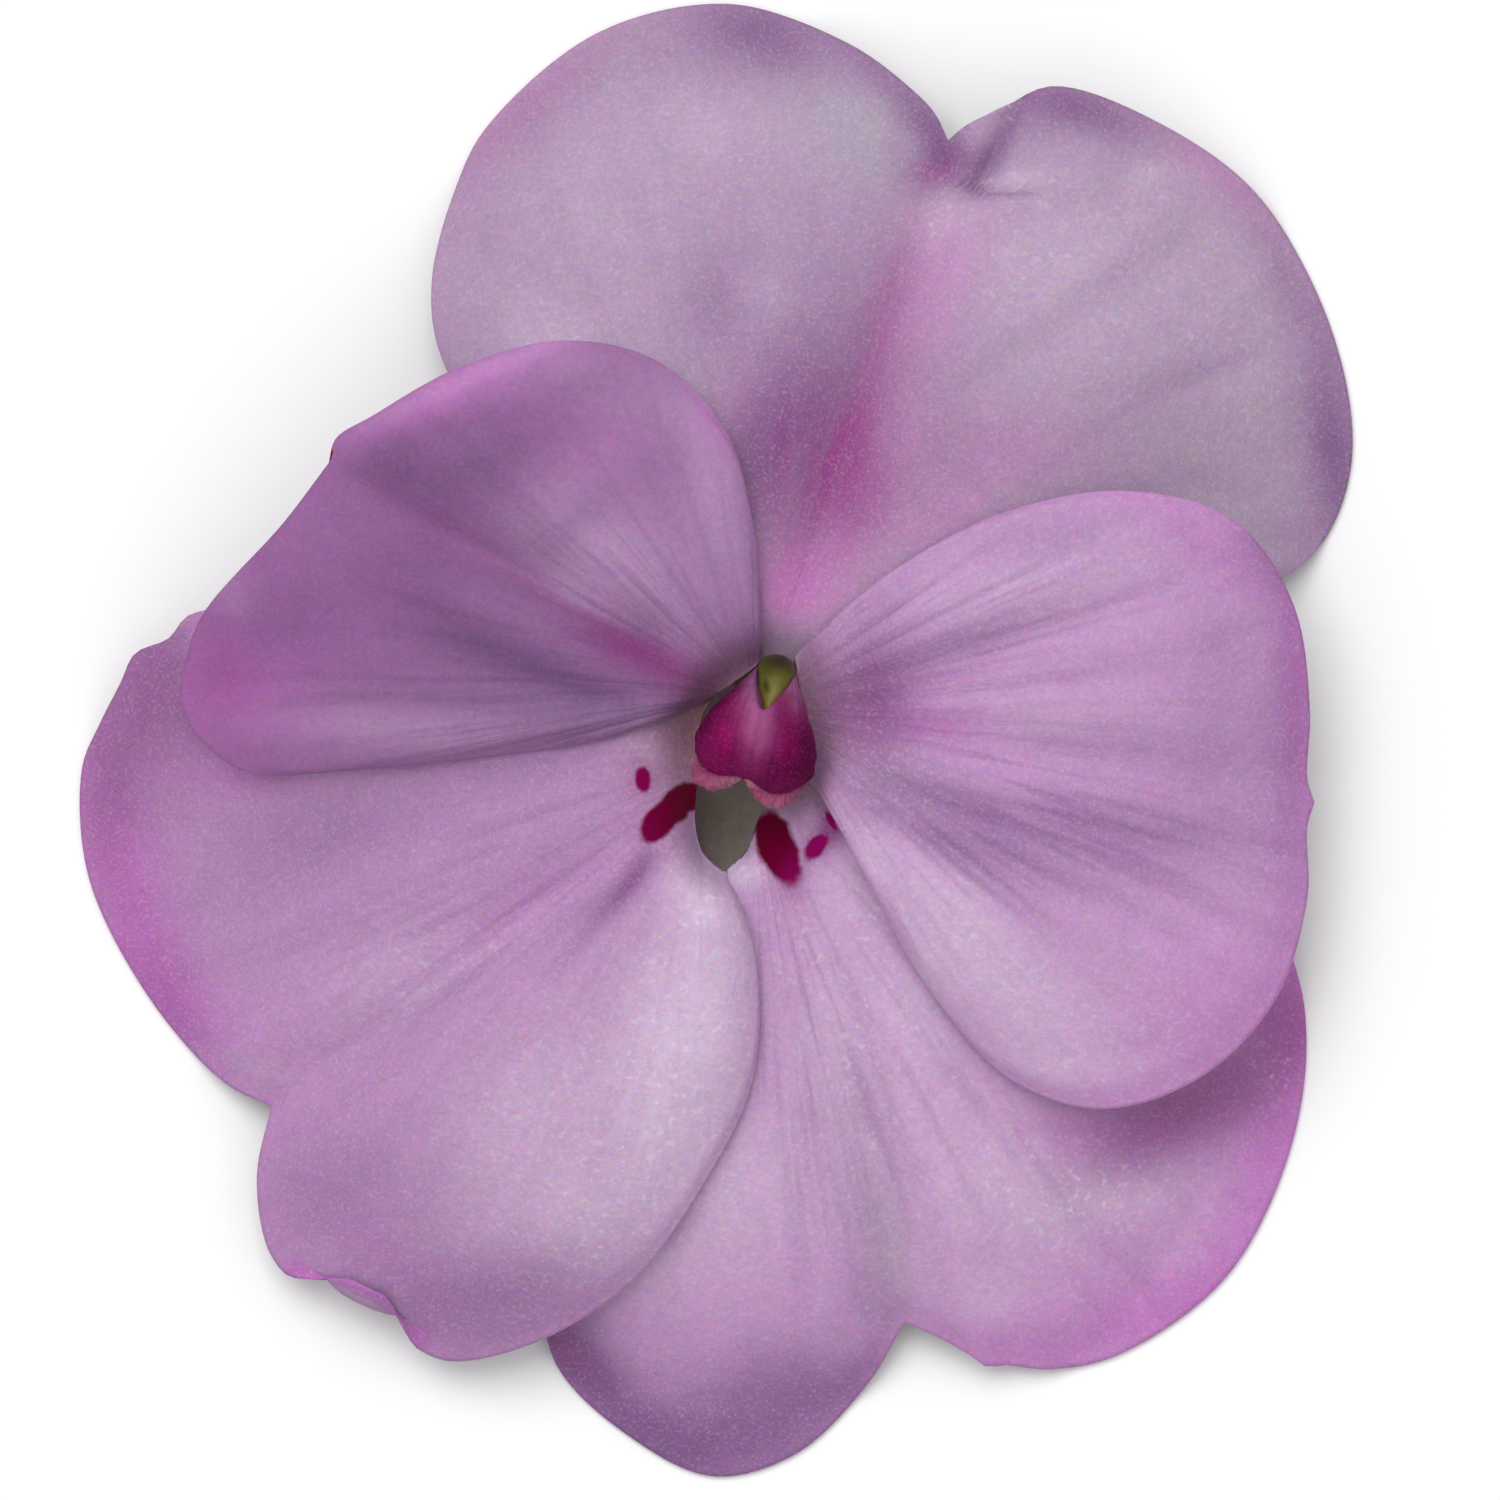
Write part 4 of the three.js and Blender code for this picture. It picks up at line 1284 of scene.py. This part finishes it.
def right_upper_petal() -> Petal:
    """The upper right wing petal, which lies over the top petal and the bottom one.

    Returns:
        The petal, not yet built.
    """
    # A fan of crisp furrows below the petal's middle, each from its start to its end, with a line of painted
    # shade along each.
    fan = (
        ((9.2, -2.3), (18.0, -4.3)),
        ((12.7, -2.2), (17.0, -3.1)),
        ((9.2, -3.0), (15.4, -5.1)),
        ((10.5, -3.6), (14.7, -5.7)),
        ((7.9, -3.2), (12.8, -6.0)),
        ((7.0, -3.4), (12.2, -7.6)),
        ((7.4, -4.5), (9.8, -6.5)),
    )
    return Petal(
        name="right_upper_petal_blade",
        node="right_wing_petals",
        slot="wing_petals",
        claw_points=((1.6, 3.4, 7.5), (1.8, 2.2, 7.5), (2.1, 1.0, 7.4), (2.3, -0.3, 7.2), (2.2, -1.5, 7.0)),
        shoulder=9.3,
        puff=0.5,
        crease=0.8,
        first_lobe=(
            (3.7, 5.3, 8.9), (6.2, 7.3, 9.0), (10.0, 9.3, 8.8), (15.2, 10.3, 8.0), (19.8, 9.1, 6.8),
            (22.3, 5.6, 5.8), (23.0, 1.2, 5.2), (22.9, -1.6, 4.9),
        ),
        notch=(23.2, -2.6, 4.8),
        second_lobe=(
            (22.9, -3.6, 4.8), (22.9, -6.5, 4.8), (21.6, -10.7, 5.2), (18.6, -13.9, 5.5), (14.5, -15.3, 5.6),
            (10.8, -14.2, 5.9), (7.6, -10.9, 6.4), (5.2, -6.4, 7.0), (3.7, -3.1, 7.4),
        ),
        folds=(
            Fold((6.0, -2.4), (21.0, -4.6), 0.8, 0.3),
            Fold((6.0, -3.6), (17.0, -8.0), 0.8, 0.3),
            Fold((5.5, 2.0), (17.0, 6.4), 1.0, 0.25),
            *(Fold(start, end, *FURROW) for start, end in fan),
        ),
        tints=(
            *(painted_furrow_shade(start, end) for start, end in fan),
            *spots(
                # Painted shade in the furrows and where the petal runs into the throat; the rest is the
                # tissue's deeper tone.
                shade=(
                    ((14.2, -3.7), (6.4, 1.4), -9.0, 0.45), ((9.0, -5.2), (3.6, 0.8), -32.0, 0.3),
                    ((8.4, 4.1), (4.6, 1.2), 20.0, 0.42), ((4.8, 1.4), (2.0, 3.4), 0.0, 0.55),
                    ((5.6, 5.9), (2.4, 0.9), 40.0, 0.25), ((19.2, -1.4), (3.4, 3.6), 0.0, 0.22),
                    ((21.4, 7.8), (2.2, 1.2), -50.0, 0.42), ((11.6, 8.4), (4.6, 1.2), 8.0, 0.25),
                    ((4.6, -2.0), (1.4, 1.6), 30.0, 0.15), ((22.2, 1.6), (1.6, 8.0), 0.0, 0.35),
                    ((11.4, -5.0), (3.6, 0.9), -26.0, 0.3), ((7.6, -2.2), (2.8, 0.9), -22.0, 0.45),
                    ((19.0, 3.6), (1.8, 3.4), 0.0, 0.22), ((4.5, 1.6), (1.3, 2.0), 0.0, 0.3),
                    ((7.3, -3.9), (2.2, 0.7), -32.0, 0.3),
                ),
                pink=(
                    ((6.0, 1.6), (3.0, 2.4), 0.0, 0.25), ((18.0, -11.4), (5.0, 2.6), 40.0, 0.5),
                    ((22.4, 2.0), (0.9, 6.0), 0.0, 0.6), ((18.6, 8.0), (3.6, 1.1), -35.0, 0.4),
                    ((6.8, 0.7), (3.0, 0.9), -5.0, 0.5),
                ),
                rose=(
                    ((4.8, 1.6), (1.8, 2.8), 0.0, 0.32), ((4.4, 1.0), (1.0, 1.6), 0.0, 0.25),
                    ((21.7, 8.3), (1.8, 0.9), -50.0, 0.4),
                ),
                # Pale spots on the lower lobe are partly painted light, which lightens its slope that turns
                # from the lamp.
                pale=(
                    ((13.6, -13.6), (5.0, 1.2), -5.0, 0.25), ((4.8, -4.6), (1.8, 0.6), -62.0, 0.4),
                    ((7.2, -9.2), (1.8, 0.8), -62.0, 0.3), ((13.8, -11.8), (5.0, 2.4), -20.0, 0.35),
                    ((11.0, 1.0), (5.0, 1.0), -3.0, 0.2), ((8.6, -7.8), (4.4, 1.8), -52.0, 0.55),
                    ((18.4, -10.6), (3.0, 1.8), 40.0, 0.2), ((11.0, 6.4), (6.0, 1.6), 18.0, 0.3),
                    ((5.2, -1.3), (1.8, 1.2), -30.0, 0.5),
                ),
                vein=(((12.0, -3.4), (8.0, 3.4), -10.0, 0.95), ((9.6, 4.4), (6.0, 2.2), 20.0, 0.7)),
                # Painted shade in the throat.
                throat=(((0.4, 0.4), (3.2, 2.5), 79.0, 1.2),),
            ),
        ),
        furrow_depth=0.2,
        rim_pink=0.3,
        seed=21.3,
    )


@dataclass
class Corolla:
    """The five petals."""

    top: Petal = field(default_factory=top_petal)
    left_upper: Petal = field(default_factory=left_upper_petal)
    left_lower: Petal = field(default_factory=left_lower_petal)
    right_lower: Petal = field(default_factory=right_lower_petal)
    right_upper: Petal = field(default_factory=right_upper_petal)

    def build(self) -> None:
        """Makes and dresses the petals."""
        # Petal tissue at the back: pale greyish lilac with a magenta flush along the middle, and painted
        # shade in the throat.
        pale_tones = tones(
            pale="c8b3ca", pink="b872ae", grey="a39aa8", shade="77507f", rose="904282", throat="84626a"
        )
        pale_finish = TissueFinish("petal tissue, pale lilac", "a68ca9", pale_tones, "8b6b92")
        # The cupped upper left petal is the deepest in colour, partly as painted shade for its cupped face,
        # which turns from the lamp.
        deep_tones = tones(
            pale="c8a4ca", pink="b466b2", grey="a083a4", shade="63406c", rose="7c3070", throat="8a626c"
        )
        deep_shaded_finish = TissueFinish(
            "petal tissue, deep lilac", "875c8b", deep_tones, "5a3a63",
            has_marks=True, painted_glint=0.08, painted_glint_tone="cdb4d0",
        )
        # Petal tissue in front: warmer lilac, whitish near the throat and pinker at the rims, with painted
        # shade in the throat.
        wing_tones = tones(
            pale="d2bcd4", pink="b66cb5", grey="a893aa", shade="7a5583", rose="8f4a86", throat="8a626c"
        )
        wing_finish = TissueFinish(
            "petal tissue, lilac pink", "bb90bd", wing_tones, "8b5f92", has_marks=True, streaks=0.125
        )
        # The lower left petal takes a darker copy of the front petal tissue.
        darker_wing_finish = replace(wing_finish, name="petal tissue, darker lilac", ground="ad83af")
        self.top.build(pale_finish.build())
        self.left_upper.build(deep_shaded_finish.build())
        self.left_lower.build(darker_wing_finish.build())
        wing_skin = wing_finish.build()
        for petal in (self.right_lower, self.right_upper):
            petal.build(wing_skin)


def hood_shape(share: float, turn: float) -> Triple:
    """Ribs of the five stamens, the V-shaped slit at the back of the hood and its two-lobed hem.

    Args:
        share: Share along the hood's path.
        turn: Angle round it, with the outside at a right angle.

    Returns:
        Factors of the half-width and half-depth, and a shift along the path in millimetres.
    """
    stamens = 5.0
    rib_depth = 0.05
    slit_depth = 0.7
    rib = 1.0 - rib_depth * (0.5 + 0.5 * math.sin(stamens * turn)) * smooth_step(0.45, 0.8, share)
    if math.sin(turn) <= 0.0:
        return rib, rib, 0.0
    aside = math.cos(turn)
    # The hem tucks in between its lobes, and less under the right one.
    notch = math.exp(-(((aside - 0.15) / 0.3) ** 2))
    right_lobe = math.exp(-(((aside + 0.5) / 0.4) ** 2))
    tuck = (0.3 + 0.25 * notch - 0.25 * right_lobe) * smooth_step(0.8, 0.97, share)
    # The slit narrows to a point on its way to the mouth.
    slit_width = 0.85 * min(max((0.7 - share) / 0.27, 0.0), 1.0)
    beside = smooth_step(slit_width - 0.12, slit_width + 0.12, abs(aside))
    in_slit = (1.0 - beside) * smooth_step(0.0, 0.1, slit_width)
    return rib, rib * (1.0 - tuck) * (1.0 - slit_depth * in_slit), 0.0


def wrinkles(share: float, turn: float) -> Triple:
    """Wrinkles of dry anthers.

    Args:
        share: Share along the path.
        turn: Angle round it.

    Returns:
        Factors of the half-width and half-depth, and a shift along the path in millimetres.
    """
    wavy = 2.0 * math.sin(3.0 * turn)
    broad = 0.06 * math.sin(95.0 * share + wavy)
    fine = 0.04 * math.sin(211.0 * share)
    wrinkle = 1.0 + broad + fine
    return wrinkle, wrinkle, 0.0


def stamen_hood() -> PathForm:
    """The bonnet that the five stamens form over the throat.

    Returns:
        The hood, not yet built.
    """
    return PathForm(
        name="stamen_hood_bonnet",
        node="stamen_hood",
        slot="stamen_hood",
        path=(
            (2.3, 0.15, 4.2), (2.75, 0.25, 6.2), (2.75, 0.3, 8.0), (2.0, 0.2, 9.2), (0.9, 0.05, 9.95),
            (-0.4, 0.05, 10.1), (-1.15, 0.12, 9.7), (-1.5, 0.2, 9.0),
        ),
        sizes=(
            (0.7, 0.7), (0.72, 0.7), (0.78, 0.74), (0.86, 0.78), (1.12, 0.9), (1.8, 1.1), (2.42, 1.3),
            (2.58, 1.2), (2.1, 0.8),
        ),
        tints=spots(
            # Partly a painted highlight down the top of the hood.
            pale=(((0.1, 0.7), (1.3, 0.62), 84.0, 0.5),),
            grey=(((0.0, 2.4), (1.1, 0.6), 80.0, 0.8), ((1.7, 2.3), (1.1, 0.5), 100.0, 0.8)),
            pink=(((-1.4, 0.2), (0.9, 1.4), -10.0, 0.5),),
            # Painted shade on the hood's sides and upper left shoulder.
            shade=(
                ((2.1, -0.9), (0.7, 1.6), 0.0, 0.8), ((0.6, -1.4), (0.8, 0.8), 0.0, 0.4),
                ((-2.4, 0.2), (0.6, 1.5), -20.0, 0.55), ((-1.5, 1.6), (1.4, 0.35), 52.0, 0.6),
                ((-0.7, 2.35), (0.9, 0.45), 50.0, 0.45),
            ),
        ),
        sides=96,
        steps=110,
        blunt_end=0.05,
        sideways=-ACROSS,
        shape=hood_shape,
        grain=0.03,
    )


def anther_border() -> PathForm:
    """The anthers, joined to a scalloped border along the hood's mouth.

    Returns:
        The border, not yet built.
    """
    return PathForm(
        name="anther_border",
        node="anther_rim",
        slot="anther_rim",
        path=(
            (-2.4, -0.7, 9.0), (-2.3, -1.2, 9.1), (-1.95, -1.5, 9.3), (-1.4, -1.55, 9.5),
            (-0.9, -1.4, 9.6), (-0.57, -1.2, 9.65), (-0.25, -1.5, 9.6), (0.15, -2.0, 9.4),
            (0.75, -2.25, 9.2), (1.3, -2.15, 9.1), (1.75, -1.75, 9.0), (2.05, -1.2, 8.9),
        ),
        placing=Vector,
        sizes=(
            (0.2, 0.3), (0.42, 0.45), (0.52, 0.5), (0.46, 0.45), (0.34, 0.4), (0.26, 0.35), (0.34, 0.4),
            (0.48, 0.45), (0.52, 0.5), (0.4, 0.42), (0.24, 0.34), (0.12, 0.26),
        ),
        tints=spots(
            pale=(((-0.57, -1.75), (0.7, 0.22), 0.0, 0.9), ((0.6, -2.9), (0.7, 0.25), 0.0, 0.5)),
            shade=(
                ((-1.6, -1.3), (1.2, 0.25), 0.0, 0.6), ((1.2, -1.9), (1.2, 0.25), 10.0, 0.7),
                ((2.2, -1.5), (0.4, 0.8), 0.0, 0.7),
            ),
        ),
        sides=48,
        steps=220,
        blunt_start=0.05,
        blunt_end=0.05,
        shape=wrinkles,
        grain=0.2,
    )


def ovary_body() -> PathForm:
    """The ovary, which shows in the slit at the hood's back.

    Returns:
        The ovary, not yet built.
    """
    return PathForm(
        name="ovary_body",
        node="ovary",
        slot="ovary",
        path=(
            (2.3, 0.2, 4.1), (2.95, 0.29, 6.4), (3.05, 0.29, 8.1), (2.75, 0.29, 9.1), (2.0, 0.28, 9.8),
            (0.95, 0.25, 10.4),
        ),
        sizes=((0.5, 0.45), (0.6, 0.5), (0.68, 0.55), (0.78, 0.6), (0.58, 0.5), (0.08, 0.3)),
        tints=spots(
            pale=(((0.75, 1.9), (0.9, 0.3), 80.0, 0.7),),
            # Painted shade at the top, under the hood, and a small dark spot of painted shade in the gap
            # beside the ovary.
            shade=(((1.0, 3.3), (1.1, 0.75), 0.0, 1.0), ((0.42, 2.2), (0.14, 0.3), 15.0, 0.9)),
        ),
        sides=40,
        steps=64,
        blunt_start=0.03,
        blunt_end=0.05,
        sideways=-ACROSS,
    )


@dataclass
class Throat:
    """The stamen hood, the anthers along its mouth and the ovary in its slit."""

    hood: PathForm = field(default_factory=stamen_hood)
    anthers: PathForm = field(default_factory=anther_border)
    ovary: PathForm = field(default_factory=ovary_body)

    def build(self) -> None:
        """Makes and dresses the throat's pieces."""
        # Fused stamen filaments: smooth, taut and deep magenta, paler down the top of the hood, partly as a
        # painted highlight, and with painted shade on its sides.
        hood_tones = tones(pink="8a0f58", pale="bc70a8", grey="94628a", shade="400228")
        hood_finish = TissueFinish(
            "stamen filament tissue, magenta", "700648", hood_tones, "4a0230",
            roughness=0.5, gloss=0.06, sheen=0.0, streaks=0.45, streak_spacing=(36.0, 2.0), mottle=0.2,
            painted_glint=0.16, painted_glint_tone="b860a4",
        )
        # Anther tissue: dry and finely wrinkled, so it scatters the light.
        anther_finish = TissueFinish(
            "anther tissue, pale pink", "984a6e", tones(pale="a8808a", shade="701848"), "6c1c46",
            roughness=0.75, streaks=0.5, streak_spacing=(8.0, 60.0), mottle=0.2, painted_glint_tone="b88494",
        )
        # Ovary wall: smooth, wet-looking yellow green, with painted shade at its top under the hood.
        ovary_finish = TissueFinish(
            "ovary wall, yellow green", "64621f", tones(pale="86744e", shade="2a2408"), "46430f",
            roughness=0.4, gloss=0.15, streaks=0.3, streak_spacing=(10.0, 2.0), mottle=0.12, painted_glint=0.0,
            cell_height=0.01,
        )
        self.hood.build(hood_finish.build())
        self.anthers.build(anther_finish.build())
        self.ovary.build(ovary_finish.build())


def nectar_spur() -> PathForm:
    """The thin hollow spur, which starts at the cup's lowest point and curves round under the petals.

    Returns:
        The spur, not yet built.
    """
    return PathForm(
        name="nectar_spur",
        node="spurred_sepal",
        slot="spurred_sepal",
        path=(
            (-1.4, 0.0, 0.9), (-2.1, 0.0, 0.95), (-3.5, 0.0, 0.9), (-6.0, 0.0, 0.9), (-10.0, 0.4, 0.7),
            (-14.6, -0.6, 0.6), (-18.2, -4.2, 0.55), (-18.6, -9.4, 0.5), (-15.6, -13.6, 0.45),
            (-11.0, -15.0, 0.42), (-7.0, -13.6, 0.4),
        ),
        sizes=((1.0, 0.4), (0.85, 0.8), (0.75, 0.75), (0.65, 0.65), (0.55, 0.55), (0.45, 0.45)),
        sides=24,
        steps=160,
        blunt_end=0.015,
    )


@dataclass
class SpurredSepal:
    """The shallow cup under the throat and the thin hollow spur that it narrows into.

    The cup is the lower half of an oval ball, cut off where the stalk's swollen end begins.
    """

    cup_at: Triple = (-0.8, 0.0, 4.3)
    cup_reach: Triple = (5.3, 3.35, 2.7)
    cup_tints: tuple[Tint, ...] = spots(
        shade=(((-0.8, -3.0), (3.0, 3.0), 0.0, 1.0),), pale=(((-0.9, -5.4), (1.0, 0.5), 0.0, 0.6),)
    )
    wall: float = 0.5
    upper_end: float = 2.2
    spur: PathForm = field(default_factory=nectar_spur)

    def build(self) -> None:
        """Makes and dresses the cup and the spur."""
        # Sepal tissue: thin and waxy, whitish pink outside and greenish grey in the shade of the cup.
        skin = TissueFinish(
            "sepal tissue, whitish", "b5a2a8", tones(pale="b8b4a8", shade="a49a8c"), "9a7f90",
            roughness=0.45, streaks=0.3, streak_spacing=(20.0, 3.0), mottle=0.12, painted_glint=0.05,
        ).build()
        mesh = bmesh.new()
        bmesh.ops.create_uvsphere(mesh, u_segments=64, v_segments=48, radius=1.0)
        map_fan(mesh, lambda vertex: (turn_of(vertex) / math.tau + 0.5, -vertex.co.z))
        end = (self.upper_end - self.cup_at[0]) / self.cup_reach[0]
        for place, away in (((0, 0, 0), (0, 0, 1)), ((end, 0, 0), (1, 0, 0))):
            everything = mesh.verts[:] + mesh.edges[:] + mesh.faces[:]
            bmesh.ops.bisect_plane(mesh, geom=everything, plane_co=place, plane_no=away, clear_outer=True)
        for vertex in mesh.verts:
            reached = [part * reach for part, reach in zip(vertex.co, self.cup_reach)]
            vertex.co = on_axis(tuple(part + start for part, start in zip(reached, self.cup_at)))
        layers = tint_layers(mesh)
        for vertex in mesh.verts:
            tint_vertex(vertex, layers, self.cup_tints)
        cup = finish_piece(mesh, "sepal_cup", "spurred_sepal", skin)
        thicken(cup, self.wall, -1.0)
        self.spur.build(skin)


def flower_stalk() -> PathForm:
    """The short stalk with the swollen end that carries the bloom.

    Returns:
        The stalk, not yet built.
    """
    return PathForm(
        name="flower_stalk",
        node="stalk",
        slot="stalk",
        path=(
            (1.6, 0.0, 3.0), (4.6, 0.0, 3.0), (6.4, 0.8, 2.3), (8.4, 2.2, 1.2), (11.4, 4.8, 0.83),
            (15.4, 8.8, 0.78), (20.4, 13.6, 0.72),
        ),
        sizes=(
            (1.0, 0.5), (2.1, 0.9), (1.55, 0.85), (1.0, 0.95), (0.92, 0.92), (0.9, 0.9), (0.88, 0.88),
            (0.86, 0.86), (0.84, 0.84), (0.82, 0.82), (0.8, 0.8),
        ),
        sides=32,
        steps=140,
        blunt_start=0.04,
        blunt_end=0.008,
        grain=0.02,
    )


@dataclass
class Stem:
    """The two green side sepals, and the short stalk with its swollen end."""

    sepal_from: Triple = (3.8, 2.45, 3.2)
    sepal_reach: Triple = (2.2, 6.2, -0.9)
    sepal_half_width: float = 1.9
    sepal_cupping: float = 0.5
    sepal_thickness: float = 0.4
    sepal_taper: Pair = (0.1, 0.87)
    vein_height: float = 0.05
    vein_turns: float = 40.0
    stalk: PathForm = field(default_factory=flower_stalk)

    def side_sepal(self, hand: int, material: bpy.types.Material) -> None:
        """Makes one flat side sepal.

        Args:
            hand: 1 on the right and -1 on the left.
            material: Its material.
        """
        root = on_axis((self.sepal_from[0], hand * self.sepal_from[1], self.sepal_from[2]))
        reach = on_axis((self.sepal_reach[0], hand * self.sepal_reach[1], self.sepal_reach[2]))
        sideways = reach.cross(UP).normalized()
        mesh = bmesh.new()
        bmesh.ops.create_grid(mesh, x_segments=28, y_segments=40, size=0.5)
        map_fan(mesh, lambda vertex: (vertex.co.x + 0.5, vertex.co.y + 0.5))
        for vertex in mesh.verts:
            a = vertex.co.x + 0.5
            t = vertex.co.y + 0.5
            along = self.sepal_taper[0] + self.sepal_taper[1] * t
            half_width = self.sepal_half_width * math.sqrt(math.sin(math.pi * along))
            off = (a * 2.0 - 1.0) * half_width
            place = root + reach * t + sideways * off
            place.z += self.sepal_cupping * (math.sin(math.pi * t) - (off / self.sepal_half_width) ** 2)
            place.z += self.vein_height * math.cos(abs(a - 0.5) * self.vein_turns)
            vertex.co = place
        tint_layers(mesh)
        name = "right_sepal" if hand > 0 else "left_sepal"
        sepal = finish_piece(mesh, name + "_blade", name, material)
        thicken(sepal, self.sepal_thickness, 0.0)

    def build(self) -> None:
        """Makes and dresses the side sepals and the stalk."""
        # Sepal tissue: thin leaf-like green with fine veins and a waxy skin.
        green = TissueFinish(
            "sepal tissue, green", "6f8a4a", (), "3f5a2a",
            roughness=0.45, streaks=0.5, streak_spacing=(14.0, 2.0), painted_glint=0.05, painted_glint_tone="a9b78a",
        ).build()
        for hand in (-1, 1):
            self.side_sepal(hand, green)
        # Stalk skin: smooth, juicy and translucent green.
        skin = TissueFinish(
            "stalk skin, green", "7c9150", (), "4a6432",
            roughness=0.35, streaks=0.35, streak_spacing=(16.0, 8.0), painted_glint=0.05, painted_glint_tone="b4bf92",
            see_in=0.25,
        ).build()
        self.stalk.build(skin)


@dataclass
class Studio:
    """The white paper, the soft lamp beyond the top petal and the camera straight above.

    The floor, the lamp, its place and the camera's range are in metres, and the power is in watts. The
    frame, the lens and the sensor are in millimetres.
    """

    floor_size: float = 3.0
    lamp_at: Triple = (-0.2, 0.42, 0.88)
    lamp_size: float = 0.7
    lamp_power: float = 5.6
    room_light: float = 0.68
    frame_width: float = 62.5
    frame_middle: Pair = (-0.25, -0.417)
    lens: float = 400.0
    sensor: float = 36.0
    sharp_height: float = 3.0
    camera_range: Pair = (0.01, 10.0)

    def build(self) -> None:
        """Makes the floor, the lamp, the even light of the room and the camera."""
        mesh = bmesh.new()
        bmesh.ops.create_grid(mesh, x_segments=1, y_segments=1, size=self.floor_size / 2)
        data = bpy.data.meshes.new("paper_floor")
        mesh.to_mesh(data)
        mesh.free()
        data.materials.append(PaperFinish().build())
        floor = self.place_object("paper_floor", data, Vector())
        self.lamp()
        world = bpy.data.worlds.new("soft_room")
        world.use_nodes = True
        sky = world.node_tree.nodes["Background"].inputs
        sky["Color"].default_value = linear("ffffff")
        sky["Strength"].default_value = self.room_light
        bpy.context.scene.world = world
        self.camera()
        bpy.context.scene.view_settings.view_transform = "Standard"

    def place_object(self, name: str, data: bpy.types.ID, place: Vector) -> bpy.types.Object:
        """Puts a thing of the studio in its place.

        Args:
            name: The object's name.
            data: Its mesh, lamp or camera.
            place: Where it goes, in metres.

        Returns:
            The object.
        """
        thing = bpy.data.objects.new(name, data)
        thing.location = place
        bpy.context.scene.collection.objects.link(thing)
        return thing

    def lamp(self) -> None:
        """Adds the soft square lamp, which faces the bloom."""
        data = bpy.data.lights.new("key_light", "AREA")
        data.shape = "SQUARE"
        data.size = self.lamp_size
        data.energy = self.lamp_power
        place = Vector(self.lamp_at)
        lamp = self.place_object("key_light", data, place)
        lamp.rotation_euler = (-place).to_track_quat("-Z", "Y").to_euler()

    def camera(self) -> None:
        """Adds the camera, which looks straight down from so far that heights hardly shift the outline."""
        data = bpy.data.cameras.new("camera")
        data.lens = self.lens
        data.sensor_width = self.sensor
        data.clip_start, data.clip_end = self.camera_range
        away = self.lens / self.sensor * self.frame_width
        middle = Vector((*self.frame_middle, self.sharp_height + away)) + HOOD_PLACE
        bpy.context.scene.camera = self.place_object("camera", data, middle * MM)


def main() -> None:
    """Loads the frame, and builds the bloom and its studio."""
    logging.basicConfig(level=logging.INFO)
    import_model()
    Studio().build()
    Corolla().build()
    Throat().build()
    SpurredSepal().build()
    Stem().build()


if __name__ == "__main__":
    main()
